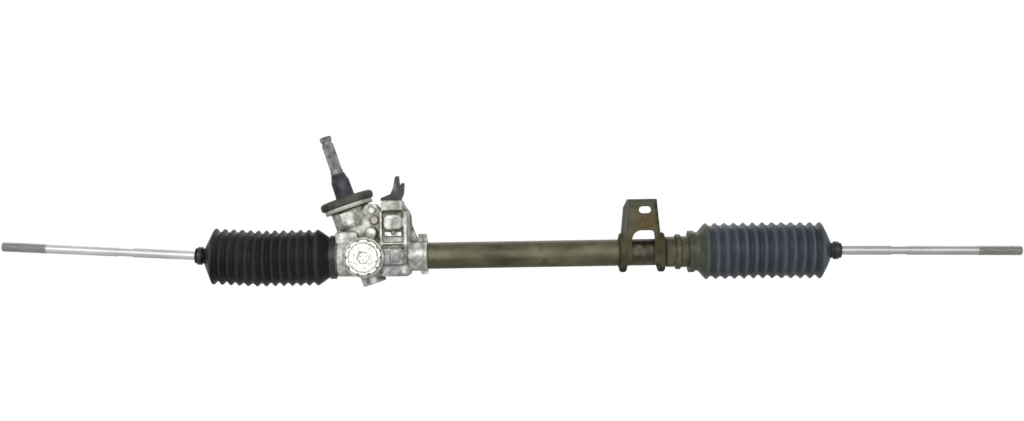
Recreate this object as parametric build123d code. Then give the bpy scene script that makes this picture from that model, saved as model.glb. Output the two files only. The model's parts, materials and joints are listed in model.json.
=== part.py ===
from build123d import *
from math import acos, cos, hypot, pi, radians, sin, tan
import os

# Manual rack-and-pinion steering rack, in millimetres.
#
# Everything is built about the rack: X runs along it, Z is up, and the zero is on the rack's axis
# by the pinion.  The adjuster and yoke are on the -Y side, the pinion is on the +Y side.  On
# export the whole assembly moves so that its origin lies on the mounting plane, midway between the
# two bolt holes in the back of the pinion housing.

# ---- Driving dimensions --------------------------------------------------------------------------

# Travel and rack bar
TRAVEL = 70.0               # rack travel each way from straight ahead
STOP_GAP = 1.5              # left between a lock washer and its end face at full travel
RACK_R = 12.0
LEFT_END = -41.0            # housing end face that stops the rack to the right
RIGHT_END = 408.0           # collar end face that stops the rack to the left
RUNNING = 0.05              # radial clearance of a running fit
SOFT_GAP = 0.3              # between a soft piece and a piece of another body

# Rack and pinion teeth, in the rack's normal section
MODULE = 1.9
TEETH = 7
RACK_TEETH = 27
PRESSURE = radians(20)
TILT = 18.16                # lean of the input shaft, and the pinion's helix angle, degrees
ADDENDUM = 0.85             # in modules, as are the next two
ROOT_GAP = 0.25
SHIFT = 0.55
BACKLASH = 0.06
RACK_FLAT_Y = 8.0           # tips of the rack's teeth
FACE_HALF = 14.0            # half the length of the pinion's teeth
PINION_X = -0.7             # where the pinion crosses the rack in front view

# Pinion housing
BARREL_R = 24.5
SPIGOT_R = 23.0             # seat of the left boot
SPIGOT_L = 8.0
RACK_BORE_R = 14.0
TOWER_R = 24.0              # the bearing's collar; the neck below it is smaller
TOWER_NECK_R = 22.2
TOWER_COLLAR = 40.6         # along the pinion's axis from the rack's axis, as are the next two
TOWER_TOP = 63.0
TOWER_BOTTOM = -36.0
LOWER_BOSS_R = 15.0
PINION_BORE_R = 11.2
YOKE_X = 1.0
YOKE_BORE_R = 17.0
ADJUSTER_BOSS_R = 25.0
ADJUSTER_FACE = -31.0
TUBE_SOCKET_X = (48.0, 78.4)
TUBE_SOCKET_WALL = 2.2
TUBE_SOCKET_RIM = 4.4
TUBE_SOCKET_GROOVE = (65.4, 66.8)
MOUNT_X = 38.0              # the two bolt holes lie one above the other
MOUNT_Y = 40.0              # mounting plane
MOUNT_Z = 20.5              # midway between the two
MOUNT_SPACING = 47.0
MOUNT_HOLE_R = 4.25
MOUNT_HOLE_DEPTH = 20.0
MOUNT_BOSS_R = 11.0
SCREW_X, SCREW_Z = 12.9, 45.7
SCREW_FACE = -6.0           # front of the web between tower and block
SCREW_R, SCREW_L = 3.0, 10.0
SCREW_HEAD_R, SCREW_HEAD_T = 5.0, 4.0

# Mounting block of the housing: spans along X and Z, and how far forward each face lies
BLOCK_X = (20.5, 57.0)
BLOCK_Z = (-24.5, 55.5)
BLOCK_Y = (-20.0, 22.0)
WALLS_X = ((20.5, 24.0), (50.0, 54.5))
WALLS_Z = (-9.0, 55.5)
WALLS_FRONT = -25.0
PILLOW_X, PILLOW_Z, PILLOW_FRONT = (25.8, 48.8), (33.5, 52.0), -27.0
DIMPLE_X, DIMPLE_Z, DIMPLE_R = 40.3, 45.6, 12.0
LEDGE_X, LEDGE_Z, LEDGE_FRONT = (26.5, 48.0), (25.3, 31.5), -23.5
LEDGE_NOTCH_X, LEDGE_NOTCH_Z, LEDGE_NOTCH_T = (34.5, 40.0), (27.5, 32.0), 2.5
RIB_Z, RIB_FRONT = (15.2, 17.4), -24.0
PAD_X, PAD_Z, PAD_FRONT = (24.5, 49.5), (-10.0, 10.5), -24.5
FACET_X, FACET_Z, FACET_T = (33.5, 45.0), (-5.5, 8.5), 1.6
CAP_X, CAP_Z, CAP_Y = (22.5, 49.0), (57.0, 69.5), (-22.0, 18.0)
CAP_NECK_FRONT = -14.0
WEB_OUTLINE = ((-4, 8), (-4, 58), (3, 66), (14, 66), (22, 56), (22, 8))
WEB_Y = (-6.0, 26.0)
GUSSET_OUTLINE = ((50, 8), (49, 66), (55.3, 56.4), (58, 51), (59, 38.6), (66, 20), (66, 8))
GUSSET_Y = (-2.0, 12.0)
TOP_LUG_X, TOP_LUG_Z = (66.0, 77.5), (8.0, 27.4)
LOW_LUG_X, LOW_LUG_Z = (70.0, 78.4), (-22.7, -8.0)
LUGS_Y = (-6.0, 6.0)

# Pipe clip on the block's cap
CLIP_FOOT_X, CLIP_FOOT_Y, CLIP_FOOT_T = (21.0, 46.5), (-9.0, 9.0), 2.5
CLIP_OUTLINE = ((21, 69.5), (21, 73), (33, 77.9), (36.3, 85.7), (38.8, 97.9), (40.2, 100), (43.7, 99.9),
                (44.4, 89.9), (45.8, 89), (46.8, 91), (50.1, 91.2), (50.4, 87.6), (49.2, 76.9),
                (46.5, 71.2), (46.5, 69.5))
CLIP_Y = (-5.0, 5.0)

# Bosses round the tower and the barrel
SHOULDER_X, SHOULDER_Y, SHOULDER_Z = (-35.4, -8.0), (-16.0, 18.0), (0.0, 31.5)
LUMP_X, LUMP_Z, LUMP_R, LUMP_FRONT = 8.5, 29.0, 8.0, -13.0
TOWER_PAD = (-12.0, 4.5)    # across the tower
TOWER_PAD_FRONT = 24.8      # from the pinion's axis
TOWER_PAD_Z = (43.5, 60.5)  # along the pinion's axis

# Tube, collar and bracket
BUSH_WALL = 2.0             # between the rack and the tube
TUBE_WALL = 2.5
COLLAR_X = 376.0
COLLAR_WALL = 2.4
RIDGE_X = (386.0, 394.5)
RIDGE_R = 22.0
RIGHT_SEAT_R = 22.0         # seat of the right boot
RIGHT_SEAT_L = 4.6
BRACKET_SHEET = 3.0
BRACKET_FRONT = -22.0
BRACKET_TOP = (328.3, 363.7, 66.2)
BRACKET_BOTTOM = (318.5, 372.0, -27.0)
BRACKET_FLARE = 1.0         # degrees that the walls open towards the back
BRACKET_EYES_X = (321.6, 369.2)
BRACKET_EYE_R, BRACKET_EYE_W = 24.6, 9.0
BRACKET_WINDOW_X = (332.3, 359.8)
BRACKET_WEB_Z = 27.7        # lower edge of the web
BRACKET_SHOULDER_Y = -8.0   # where the walls start to slope down to the back
BRACKET_BACK_Z = (22.0, 57.0)
SLOT_X, SLOT_Z = 348.5, 53.1
SLOT_LENGTH = 15.0
SLOT_R = 4.25
BUSH_X = (378.0, 404.0)

# Pinion shaft and what it carries, as distances along its axis
BEARING = (22.0, 34.0)
BEARING_R = 20.0
BEARING_SEAT_R = 8.5
BALL_PITCH_R = 14.25
BEARING_BALL_R = 3.3
BEARING_BALLS = 8
JOURNAL_R = 6.5
BUSH_R = 9.0
BUSH = (-32.0, -20.0)
SEAL = (50.0, 57.0)
RING_R, RING_T = 30.5, 5.0
DISC_R, DISC_T = 34.0, 10.5
SLEEVE_R = 12.5
SLEEVE_SHOULDER = 105.0
SLEEVE_TOP = 113.0
STEM_R = 8.0
SPLINE_R = 7.25
SPLINE_START = 116.0
SHAFT_TOP = 158.7
CLAMP_GROOVE = (148.5, 153.5)

# Rack guide
LINER_T = 1.0
YOKE_Y = (-6.0, -24.5)
PLUG_R = 18.0
PLUG_SUNK, PLUG_PROUD = 3.0, 7.0
PLUG_HEX_R, PLUG_HEX_DEPTH = 8.3, 3.5
PLUG_CHAMFER = 1.2
YOKE_GROOVE_Y = (-19.5, -22.0)
LOCK_RING_R = 22.0
LOCK_RING_T = 5.5

# Inner ball joints and tie rods
SOCKET_REACH = 21.4         # rack end to ball centre
SOCKET_R = 16.0
BALL_R = 12.0
SEAT_T = 1.7
SEAT_EDGE = 2.3             # the cup's rim beyond the ball's centre; it stays inside the lip as it rocks
STUD_R = 7.0
STUD_L = 18.0
WASHER_T = 1.5
WASHER_R = 15.5
ROD_NECK_R = 5.0
ROD_R = 5.5
THREAD_R = 6.0
THREAD_L = 55.0
ROD_LENGTH = 319.6          # ball centre to tip
FLATS_AT = (156.0, 176.0)
FLATS_WIDTH = 9.4
LEFT_LIFT = 3.55            # degrees that each rod rises towards its outer end
RIGHT_LIFT = -1.0

# Bellows boots
PLEATS = 13
CREST_R = 35.0
VALLEY_R = 31.0
CREST_LAND = 2.0
BOOT_WALL = 1.9
NECK_R = 9.5
LEFT_BOOT = dict(lap=5.0, cuff=3.7, cuff_r=25.5, first=18.1, pitch=10.68, neck=(159.3, 170.6))
RIGHT_BOOT = dict(lap=4.6, cuff=7.0, cuff_r=24.2, first=17.3, pitch=11.82, neck=(174.0, 186.0))
BAND_T = 1.4
BAND_W = 6.5
NECK_BAND_W = 5.0

# ---- Places worked out from them -----------------------------------------------------------------

TUBE_BORE_R = RACK_R + BUSH_WALL
TUBE_R = TUBE_BORE_R + TUBE_WALL
TUBE_SOCKET_R = TUBE_R + TUBE_SOCKET_WALL
COLLAR_R = TUBE_R + COLLAR_WALL
PLUG_Y = (ADJUSTER_FACE + PLUG_SUNK, ADJUSTER_FACE - PLUG_PROUD)

PITCH = pi * MODULE
PITCH_R = MODULE * TEETH / (2 * cos(radians(TILT)))
PINION_TIP_R = PITCH_R + (ADDENDUM + SHIFT) * MODULE
PINION_ROOT_R = PITCH_R - (ADDENDUM + ROOT_GAP - SHIFT) * MODULE
RACK_LINE_Y = RACK_FLAT_Y - ADDENDUM * MODULE
RACK_ROOT_Y = RACK_LINE_Y - (ADDENDUM + ROOT_GAP) * MODULE
PINION_Y = RACK_LINE_Y + PITCH_R + SHIFT * MODULE
PINION_FRAME = Pos(PINION_X, PINION_Y, 0) * Rot(0, -TILT, 0)

BALL_REACH = TRAVEL + STOP_GAP + SOCKET_REACH
LEFT_BALL = LEFT_END - BALL_REACH
RIGHT_BALL = RIGHT_END + BALL_REACH
LEFT_FRAME = Pos(LEFT_BALL, 0, 0) * Rot(0, 0, 180)
RIGHT_FRAME = Pos(RIGHT_BALL, 0, 0)
LEFT_ROD_FRAME = LEFT_FRAME * Rot(0, -LEFT_LIFT, 0)
RIGHT_ROD_FRAME = RIGHT_FRAME * Rot(0, -RIGHT_LIFT, 0)
RACK_ENDS = (LEFT_BALL + SOCKET_REACH, RIGHT_BALL - SOCKET_REACH)

SEAT_IN_R = BALL_R + RUNNING
SEAT_OUT_R = SEAT_IN_R + SEAT_T
CAVITY_R = SEAT_OUT_R + RUNNING

RING = (TOWER_TOP, TOWER_TOP + RING_T)
DISC = (RING[1], RING[1] + DISC_T)

ROW_FRAME = Pos(-MOUNT_X, -MOUNT_Y, -MOUNT_Z)


# ---- Shapes used by several pieces ---------------------------------------------------------------

def bar_x(radius, start, end, y=0.0, z=0.0):
    """A round bar along X."""
    upright = Cylinder(radius, end - start, align=(Align.CENTER, Align.CENTER, Align.MIN))
    return Pos(start, y, z) * Rot(0, 90, 0) * upright


def bar_y(radius, start, end, x=0.0, z=0.0):
    """A round bar along Y."""
    upright = Cylinder(radius, end - start, align=(Align.CENTER, Align.CENTER, Align.MIN))
    return Pos(x, start, z) * Rot(-90, 0, 0) * upright


def bar_z(radius, start, end):
    """A round bar along Z."""
    upright = Cylinder(radius, end - start, align=(Align.CENTER, Align.CENTER, Align.MIN))
    return Pos(0, 0, start) * upright


def ring_z(outer, inner, start, end):
    """A plain ring about Z."""
    return bar_z(outer, start, end) - bar_z(inner, start, end)


def block(x, y, z):
    """A box between two values on each axis."""
    size = (x[1] - x[0], y[1] - y[0], z[1] - z[0])
    return Pos(x[0], y[0], z[0]) * Box(*size, align=(Align.MIN, Align.MIN, Align.MIN))


def turned_x(points):
    """A solid turned about X from (distance, radius) points."""
    return revolve(make_face(Polyline(*points, close=True)), Axis.X)


def turned_z(points):
    """A solid turned about Z from (radius, height) points."""
    return revolve(make_face(Plane.XZ * Polyline(*points, close=True)), Axis.Z)


def plate_y(points, y):
    """A flat plate with an outline in front view, between two depths."""
    outline = make_face(Plane.XZ * Polyline(*points, close=True))
    return Pos(0, y[0], 0) * extrude(outline, y[1] - y[0], dir=(0, 1, 0))


# ---- Rack and pinion -----------------------------------------------------------------------------

def rack_bar():
    """The rack: a round bar with square teeth cut in its back, and a threaded bore in each end."""
    bar = chamfer(bar_x(RACK_R, *RACK_ENDS).edges(), 1.0)
    at_tip = PITCH / 2 + 2 * ADDENDUM * MODULE * tan(PRESSURE)
    at_root = PITCH / 2 - 2 * (ADDENDUM + ROOT_GAP) * MODULE * tan(PRESSURE)
    half = RACK_TEETH * PITCH / 2
    above = RACK_R + 1
    comb = [(PINION_X - half, above), (PINION_X - half, RACK_FLAT_Y)]
    for i in range(RACK_TEETH):
        middle = PINION_X + (i - RACK_TEETH // 2) * PITCH
        comb.append((middle - at_tip / 2, RACK_FLAT_Y))
        comb.append((middle - at_root / 2, RACK_ROOT_Y))
        comb.append((middle + at_root / 2, RACK_ROOT_Y))
        comb.append((middle + at_tip / 2, RACK_FLAT_Y))
    comb += [(PINION_X + half, RACK_FLAT_Y), (PINION_X + half, above)]
    cutter = extrude(make_face(Polyline(*comb, close=True)), above, both=True)
    left_bore = bar_x(STUD_R, RACK_ENDS[0], RACK_ENDS[0] + STUD_L + 2)
    right_bore = bar_x(STUD_R, RACK_ENDS[1] - STUD_L - 2, RACK_ENDS[1])
    return bar - cutter - left_bore - right_bore


def pinion_section():
    """The pinion's teeth in its transverse section, one tooth pointing at the rack (-Y)."""
    pressure = acos(cos_transverse())
    base = PITCH_R * cos_transverse()
    thick = (pi / 2 + 2 * SHIFT * tan(PRESSURE)) * MODULE / cos(radians(TILT)) - BACKLASH
    steps = 6

    def involute(angle):
        return tan(angle) - angle

    def half_angle(radius):
        return thick / (2 * PITCH_R) + involute(pressure) - involute(acos(min(1, base / radius)))

    def at(radius, angle):
        return (radius * sin(angle), -radius * cos(angle))

    edges = []
    tooth = 2 * pi / TEETH
    radii = [base + (PINION_TIP_R - base) * (i / steps) ** 1.5 for i in range(steps + 1)]
    foot = half_angle(base)
    for i in range(TEETH):
        middle = i * tooth
        rising = [at(r, middle - half_angle(r)) for r in radii]
        falling = [at(r, middle + half_angle(r)) for r in reversed(radii)]
        root_in = at(PINION_ROOT_R, middle - foot)
        root_out = at(PINION_ROOT_R, middle + foot)
        next_in = at(PINION_ROOT_R, middle + tooth - foot)
        valley = at(PINION_ROOT_R, middle + tooth / 2)
        edges.append(Line(root_in, rising[0]))
        edges.append(Spline(*rising))
        edges.append(ThreePointArc(rising[-1], at(PINION_TIP_R, middle), falling[0]))
        edges.append(Spline(*falling))
        edges.append(Line(falling[-1], root_out))
        edges.append(ThreePointArc(root_out, valley, next_in))
    return make_face(Wire(edges))


def cos_transverse():
    """Cosine of the pressure angle in the pinion's transverse section."""
    ratio = tan(PRESSURE) / cos(radians(TILT))
    return 1 / hypot(1, ratio)


def pinion_shaft():
    """Input shaft and pinion in one forging, about its own axis."""
    twist = FACE_HALF * tan(radians(TILT)) / PITCH_R * 180 / pi
    section = Pos(0, 0, -FACE_HALF) * Rot(0, 0, -twist) * pinion_section()
    teeth = Solid.extrude_linear_with_rotation(
        section.face(), (0, 0, -FACE_HALF), (0, 0, 2 * FACE_HALF), 2 * twist)
    groove = 1.0
    profile = [
        (0, BUSH[0]), (JOURNAL_R - groove, BUSH[0]), (JOURNAL_R, BUSH[0] + groove),
        (JOURNAL_R, -FACE_HALF - 3), (PINION_ROOT_R, -FACE_HALF), (PINION_ROOT_R, FACE_HALF),
        (BEARING_SEAT_R + 2, FACE_HALF), (BEARING_SEAT_R + 2, BEARING[0]),
        (BEARING_SEAT_R, BEARING[0]), (BEARING_SEAT_R, BEARING[1]),
        (BEARING_SEAT_R - groove, BEARING[1]), (BEARING_SEAT_R - groove, BEARING[1] + 1.5),
        (BEARING_SEAT_R, BEARING[1] + 1.5), (BEARING_SEAT_R, SEAL[1] + 3),
        (STEM_R, SEAL[1] + 4), (STEM_R, SLEEVE_TOP), (SPLINE_R, SPLINE_START),
        (SPLINE_R, CLAMP_GROOVE[0]), (SPLINE_R - groove, CLAMP_GROOVE[0] + groove),
        (SPLINE_R - groove, CLAMP_GROOVE[1] - groove), (SPLINE_R, CLAMP_GROOVE[1]),
        (SPLINE_R, SHAFT_TOP - groove), (SPLINE_R - groove, SHAFT_TOP), (0, SHAFT_TOP)]
    return turned_z(profile) + teeth


def bearing_rings():
    """Outer and inner ring of the deep-groove ball bearing, about the pinion's axis."""
    middle = sum(BEARING) / 2
    width = BEARING[1] - BEARING[0]
    shoulder = 1.9
    groove = Plane.XZ * Pos(BALL_PITCH_R, middle) * Circle(BEARING_BALL_R + RUNNING)
    rings = []
    for low, high in ((BALL_PITCH_R + shoulder, BEARING_R), (BEARING_SEAT_R, BALL_PITCH_R - shoulder)):
        outline = Plane.XZ * Pos((low + high) / 2, middle) * Rectangle(high - low, width)
        rings.append(revolve(outline - groove, Axis.Z))
    return rings


def bearing_balls():
    """The bearing's balls."""
    ball = Pos(BALL_PITCH_R, 0, sum(BEARING) / 2) * Sphere(BEARING_BALL_R)
    return [Rot(0, 0, i * 360 / BEARING_BALLS) * ball for i in range(BEARING_BALLS)]


def bearing_cage():
    """A ring that spaces the balls, with a round pocket for each."""
    middle = sum(BEARING) / 2
    half = BEARING_BALL_R + 0.9
    ring = ring_z(BALL_PITCH_R + 0.7, BALL_PITCH_R - 0.7, middle - half, middle + half)
    pocket = Pos(0, 0, middle) * bar_x(BEARING_BALL_R + 0.1, BALL_PITCH_R - 3, BALL_PITCH_R + 3)
    for i in range(BEARING_BALLS):
        ring -= Rot(0, 0, i * 360 / BEARING_BALLS) * pocket
    return ring


def circlip(outer, inner, start, thickness, gap):
    """A retaining ring about Z, with its gap on +X."""
    ring = ring_z(outer, inner, start, start + thickness)
    return ring - block((0, outer + 1), (-gap / 2, gap / 2), (start, start + thickness))


def oil_seal():
    """Lip seal between shaft and tower."""
    lip = BEARING_SEAT_R + RUNNING
    return turned_z([(BEARING_R, SEAL[0]), (BEARING_R, SEAL[1]), (lip + 3, SEAL[1]),
                     (lip, SEAL[1] - 2), (lip, SEAL[1] - 3), (lip + 3, SEAL[1] - 3.5),
                     (BEARING_R - 3, SEAL[1] - 3.5), (BEARING_R - 3, SEAL[0])])


def dust_disc():
    """Rubber disc that seals the tower against the bulkhead."""
    disc = ring_z(DISC_R, STEM_R + SOFT_GAP, *DISC)
    rims = disc.edges().filter_by(GeomType.CIRCLE).filter_by(lambda e: e.radius > DISC_R - 1)
    return fillet(rims, DISC_T * 0.4)


def dust_sleeve():
    """Plastic sleeve that turns with the shaft above the disc."""
    wall = 1.6
    start = DISC[1] + SOFT_GAP
    hub = SLEEVE_SHOULDER - 4
    return turned_z([(SLEEVE_R, start), (SLEEVE_R, SLEEVE_SHOULDER), (STEM_R + 0.8, SLEEVE_TOP),
                     (STEM_R, SLEEVE_TOP), (STEM_R, hub), (SLEEVE_R - wall, hub - 2),
                     (SLEEVE_R - wall, start)])


# ---- Housing -------------------------------------------------------------------------------------

def mounting_block():
    """The block that takes the bolts: side walls, a pillow and a pad over the bolts, ribs and a cap."""
    body = block(BLOCK_X, BLOCK_Y, BLOCK_Z)
    body = fillet(body.edges().filter_by(Axis.Y), 4)
    body = fillet(body.edges().filter_by(Axis.X).group_by(Axis.Z)[0].group_by(Axis.Y)[0], 5)
    for wall in WALLS_X:
        body += block(wall, (WALLS_FRONT, 0), WALLS_Z)
    pillow = block(PILLOW_X, (PILLOW_FRONT, 0), PILLOW_Z)
    pillow = fillet(pillow.edges().filter_by(Axis.Y), 5)
    pillow = fillet(pillow.faces().sort_by(Axis.Y)[0].edges(), 2.5)
    pillow -= Pos(DIMPLE_X, PILLOW_FRONT - DIMPLE_R + 1.2, DIMPLE_Z) * Sphere(DIMPLE_R)
    pad = block(PAD_X, (PAD_FRONT, 0), PAD_Z)
    pad = fillet(pad.edges().filter_by(Axis.Y), 3)
    facet = block(FACET_X, (PAD_FRONT - FACET_T, 0), FACET_Z)
    body += pillow + pad + fillet(facet.edges().filter_by(Axis.Y), 2)
    body += block((WALLS_X[0][0], WALLS_X[1][1]), (RIB_FRONT, 0), RIB_Z)
    body += block(LEDGE_X, (LEDGE_FRONT, 0), LEDGE_Z)
    body -= block(LEDGE_NOTCH_X, (LEDGE_FRONT - 1, LEDGE_FRONT + LEDGE_NOTCH_T), LEDGE_NOTCH_Z)
    cap = block(CAP_X, CAP_Y, CAP_Z)
    cap = fillet(cap.edges().filter_by(Axis.Y).group_by(Axis.Z)[-1], 3)
    neck = block(CAP_X, (CAP_NECK_FRONT, CAP_Y[1]), (BLOCK_Z[1] - 1, CAP_Z[0] + 1))
    return body + cap + neck


def tube_socket():
    """The socket for the tube, with its rim, a lug above and one below, and a gusset behind."""
    start, end = TUBE_SOCKET_X
    socket = bar_x(TUBE_SOCKET_R, BLOCK_X[1] - 2, end)
    rim = bar_x(TUBE_SOCKET_R + 1.2, end - TUBE_SOCKET_RIM, end)
    top_lug = fillet(block(TOP_LUG_X, LUGS_Y, TOP_LUG_Z).edges().filter_by(Axis.Y), 2.5)
    low_lug = fillet(block(LOW_LUG_X, LUGS_Y, LOW_LUG_Z).edges().filter_by(Axis.Y), 2)
    groove = bar_x(2 * TUBE_SOCKET_R, *TUBE_SOCKET_GROOVE) - bar_x(TUBE_SOCKET_R - 1, *TUBE_SOCKET_GROOVE)
    return socket + rim + top_lug + low_lug - groove + plate_y(GUSSET_OUTLINE, GUSSET_Y)


def housing_outside():
    """The casting's outer form: barrel, tower, adjuster boss, mounting block and tube socket."""
    barrel = bar_x(BARREL_R, LEFT_END + SPIGOT_L, BLOCK_X[0] + 2)
    spigot = bar_x(SPIGOT_R, LEFT_END, LEFT_END + SPIGOT_L)
    collar = bar_z(TOWER_R, TOWER_COLLAR, TOWER_TOP)
    neck = bar_z(TOWER_NECK_R, -10, TOWER_COLLAR)
    lower = bar_z(LOWER_BOSS_R, TOWER_BOTTOM, 0)
    yoke = bar_y(ADJUSTER_BOSS_R, ADJUSTER_FACE, 0, YOKE_X)
    tower_pad = block(TOWER_PAD, (-TOWER_PAD_FRONT, 0), TOWER_PAD_Z)
    shoulder = block(SHOULDER_X, SHOULDER_Y, SHOULDER_Z)
    shoulder = fillet(shoulder.faces().sort_by(Axis.Z)[-1].edges(), 3)
    lump = bar_y(LUMP_R, LUMP_FRONT, 0, LUMP_X, LUMP_Z)
    lump = fillet(lump.edges().group_by(Axis.Y)[0], 3)
    form = barrel + spigot + PINION_FRAME * (collar + neck + lower + tower_pad) + yoke
    form += mounting_block() + tube_socket() + plate_y(WEB_OUTLINE, WEB_Y) + shoulder + lump
    for z in mount_heights():
        form += bar_y(MOUNT_BOSS_R, 0, MOUNT_Y, MOUNT_X, z)
    return form


def mount_heights():
    """Heights of the two bolt holes."""
    return (MOUNT_Z - MOUNT_SPACING / 2, MOUNT_Z + MOUNT_SPACING / 2)


def pinion_housing():
    """Die-cast housing with its bores."""
    form = housing_outside()
    form -= bar_x(RACK_BORE_R, LEFT_END, TUBE_SOCKET_X[1])
    form -= bar_x(TUBE_R, *TUBE_SOCKET_X)
    form -= PINION_FRAME * bar_z(PINION_BORE_R, BUSH[1] + 2, BEARING[0])
    form -= PINION_FRAME * bar_z(BUSH_R, BUSH[0] - 1, BUSH[1] + 2)
    form -= PINION_FRAME * bar_z(BEARING_R, BEARING[0], TOWER_TOP)
    form -= PINION_FRAME * bar_z(BEARING_R + 1.2, BEARING[1], BEARING[1] + 1.75)
    form -= bar_y(YOKE_BORE_R, PLUG_Y[0], 0, YOKE_X)
    form -= bar_y(PLUG_R, ADJUSTER_FACE, PLUG_Y[0], YOKE_X)
    for z in mount_heights():
        form -= bar_y(MOUNT_HOLE_R, MOUNT_Y - MOUNT_HOLE_DEPTH, MOUNT_Y, MOUNT_X, z)
    form -= bar_y(SCREW_R, SCREW_FACE, SCREW_FACE + SCREW_L, SCREW_X, SCREW_Z)
    return form


def breather_screw():
    """Small round-headed screw on the tower's flank."""
    head = bar_y(SCREW_HEAD_R, SCREW_FACE - SCREW_HEAD_T, SCREW_FACE, SCREW_X, SCREW_Z)
    front = head.edges().group_by(Axis.Y)[0]
    shank = bar_y(SCREW_R, SCREW_FACE, SCREW_FACE + SCREW_L, SCREW_X, SCREW_Z)
    return chamfer(front, 1.0) + shank


def pipe_clip():
    """Plastic clip on the block's top: a foot and two prongs."""
    foot = block(CLIP_FOOT_X, CLIP_FOOT_Y, (CAP_Z[1], CAP_Z[1] + CLIP_FOOT_T))
    return foot + plate_y(CLIP_OUTLINE, CLIP_Y)


# ---- Rack guide ----------------------------------------------------------------------------------

def yoke_round(radius, start, end):
    """A round bar on the rack guide's axis."""
    return bar_y(radius, end, start, YOKE_X)


def rack_yoke():
    """Sliding block that presses the rack on to the pinion."""
    form = yoke_round(YOKE_BORE_R - RUNNING, *YOKE_Y)
    form -= bar_x(RACK_R + RUNNING + LINER_T, -30, 30)
    pocket = yoke_round(YOKE_BORE_R - 6, YOKE_Y[1] + 3, YOKE_Y[1])
    groove = yoke_round(YOKE_BORE_R, *YOKE_GROOVE_Y) - yoke_round(YOKE_BORE_R - 2.0, *YOKE_GROOVE_Y)
    return form - pocket - groove


def yoke_liner():
    """Low-friction shell between yoke and rack."""
    shell = bar_x(RACK_R + RUNNING + LINER_T, -30, 30) - bar_x(RACK_R + RUNNING, -30, 30)
    return shell & yoke_round(YOKE_BORE_R - RUNNING - 1, *YOKE_Y)


def yoke_ring():
    """Rubber ring in the yoke's groove."""
    tube_r = 1.0
    return Pos(YOKE_X, sum(YOKE_GROOVE_Y) / 2, 0) * Rot(90, 0, 0) * Torus(YOKE_BORE_R - tube_r, tube_r)


def yoke_spring():
    """Disc spring between the yoke and the plug."""
    inner, outer = 5.0, YOKE_BORE_R - 6.5
    low, high, sheet = YOKE_Y[1] + 3, PLUG_Y[0], 1.6
    shape = turned_z([(outer, 0), (outer, sheet), (inner, low - high), (inner, low - high - sheet)])
    return Pos(YOKE_X, low, 0) * Rot(90, 0, 0) * shape


def adjuster_plug():
    """Screwed plug with a shallow hexagon in its face."""
    plug = yoke_round(PLUG_R, *PLUG_Y)
    plug = chamfer(plug.edges().group_by(Axis.Y)[0], PLUG_CHAMFER)
    hexagon = extrude(Plane.XZ * RegularPolygon(PLUG_HEX_R, 6), PLUG_HEX_DEPTH, dir=(0, 1, 0))
    return plug - Pos(YOKE_X, PLUG_Y[1], 0) * hexagon


def lock_ring():
    """Ring nut that locks the plug."""
    end = ADJUSTER_FACE - LOCK_RING_T
    ring = yoke_round(LOCK_RING_R, ADJUSTER_FACE, end) - yoke_round(PLUG_R, ADJUSTER_FACE, end)
    return chamfer(ring.edges().group_by(Axis.Y)[0], PLUG_CHAMFER)


# ---- Tube ----------------------------------------------------------------------------------------

def rack_tube():
    """Steel tube from the housing to the far boot."""
    end = BUSH_X[1] + 1
    return bar_x(TUBE_R, TUBE_SOCKET_X[0], end) - bar_x(TUBE_BORE_R, TUBE_SOCKET_X[0], end)


def tube_collar():
    """Sleeve on the tube's end: a ridge, the boot's seat, and a lip that holds the bush in."""
    seat = RIGHT_END - RIGHT_SEAT_L
    lip = RACK_R + 0.8
    end = BUSH_X[1] + 1
    return turned_x([(COLLAR_X, TUBE_R), (COLLAR_X, COLLAR_R), (RIDGE_X[0], COLLAR_R),
                     (RIDGE_X[0] + 2, RIDGE_R), (RIDGE_X[1] - 2, RIDGE_R), (RIDGE_X[1], COLLAR_R + 0.5),
                     (seat, COLLAR_R + 0.5), (seat, RIGHT_SEAT_R), (RIGHT_END, RIGHT_SEAT_R),
                     (RIGHT_END, lip), (end, lip), (end, TUBE_R)])


def rack_bush():
    """Plastic bush that guides the rack at the tube's end."""
    return bar_x(TUBE_BORE_R, *BUSH_X) - bar_x(RACK_R + RUNNING, *BUSH_X)


def bracket_wedge(inset, corner):
    """The bracket's outline in front view, flaring towards the back."""
    left, right, top = BRACKET_TOP
    low_left, low_right, low = BRACKET_BOTTOM
    corners = [(low_left + inset, low), (left + inset, top - inset),
               (right - inset, top - inset), (low_right - inset, low)]
    outline = make_face(Plane.XZ * Polyline(*corners, close=True))
    depth = MOUNT_Y - BRACKET_FRONT - inset
    wedge = extrude(outline, depth, dir=(0, 1, 0), taper=-BRACKET_FLARE)
    wedge = Pos(0, BRACKET_FRONT + inset, 0) * wedge
    front = wedge.faces().sort_by(Axis.Y)[0].edges().sort_by(Axis.Z)[1:]
    return fillet(front, corner)


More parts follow.
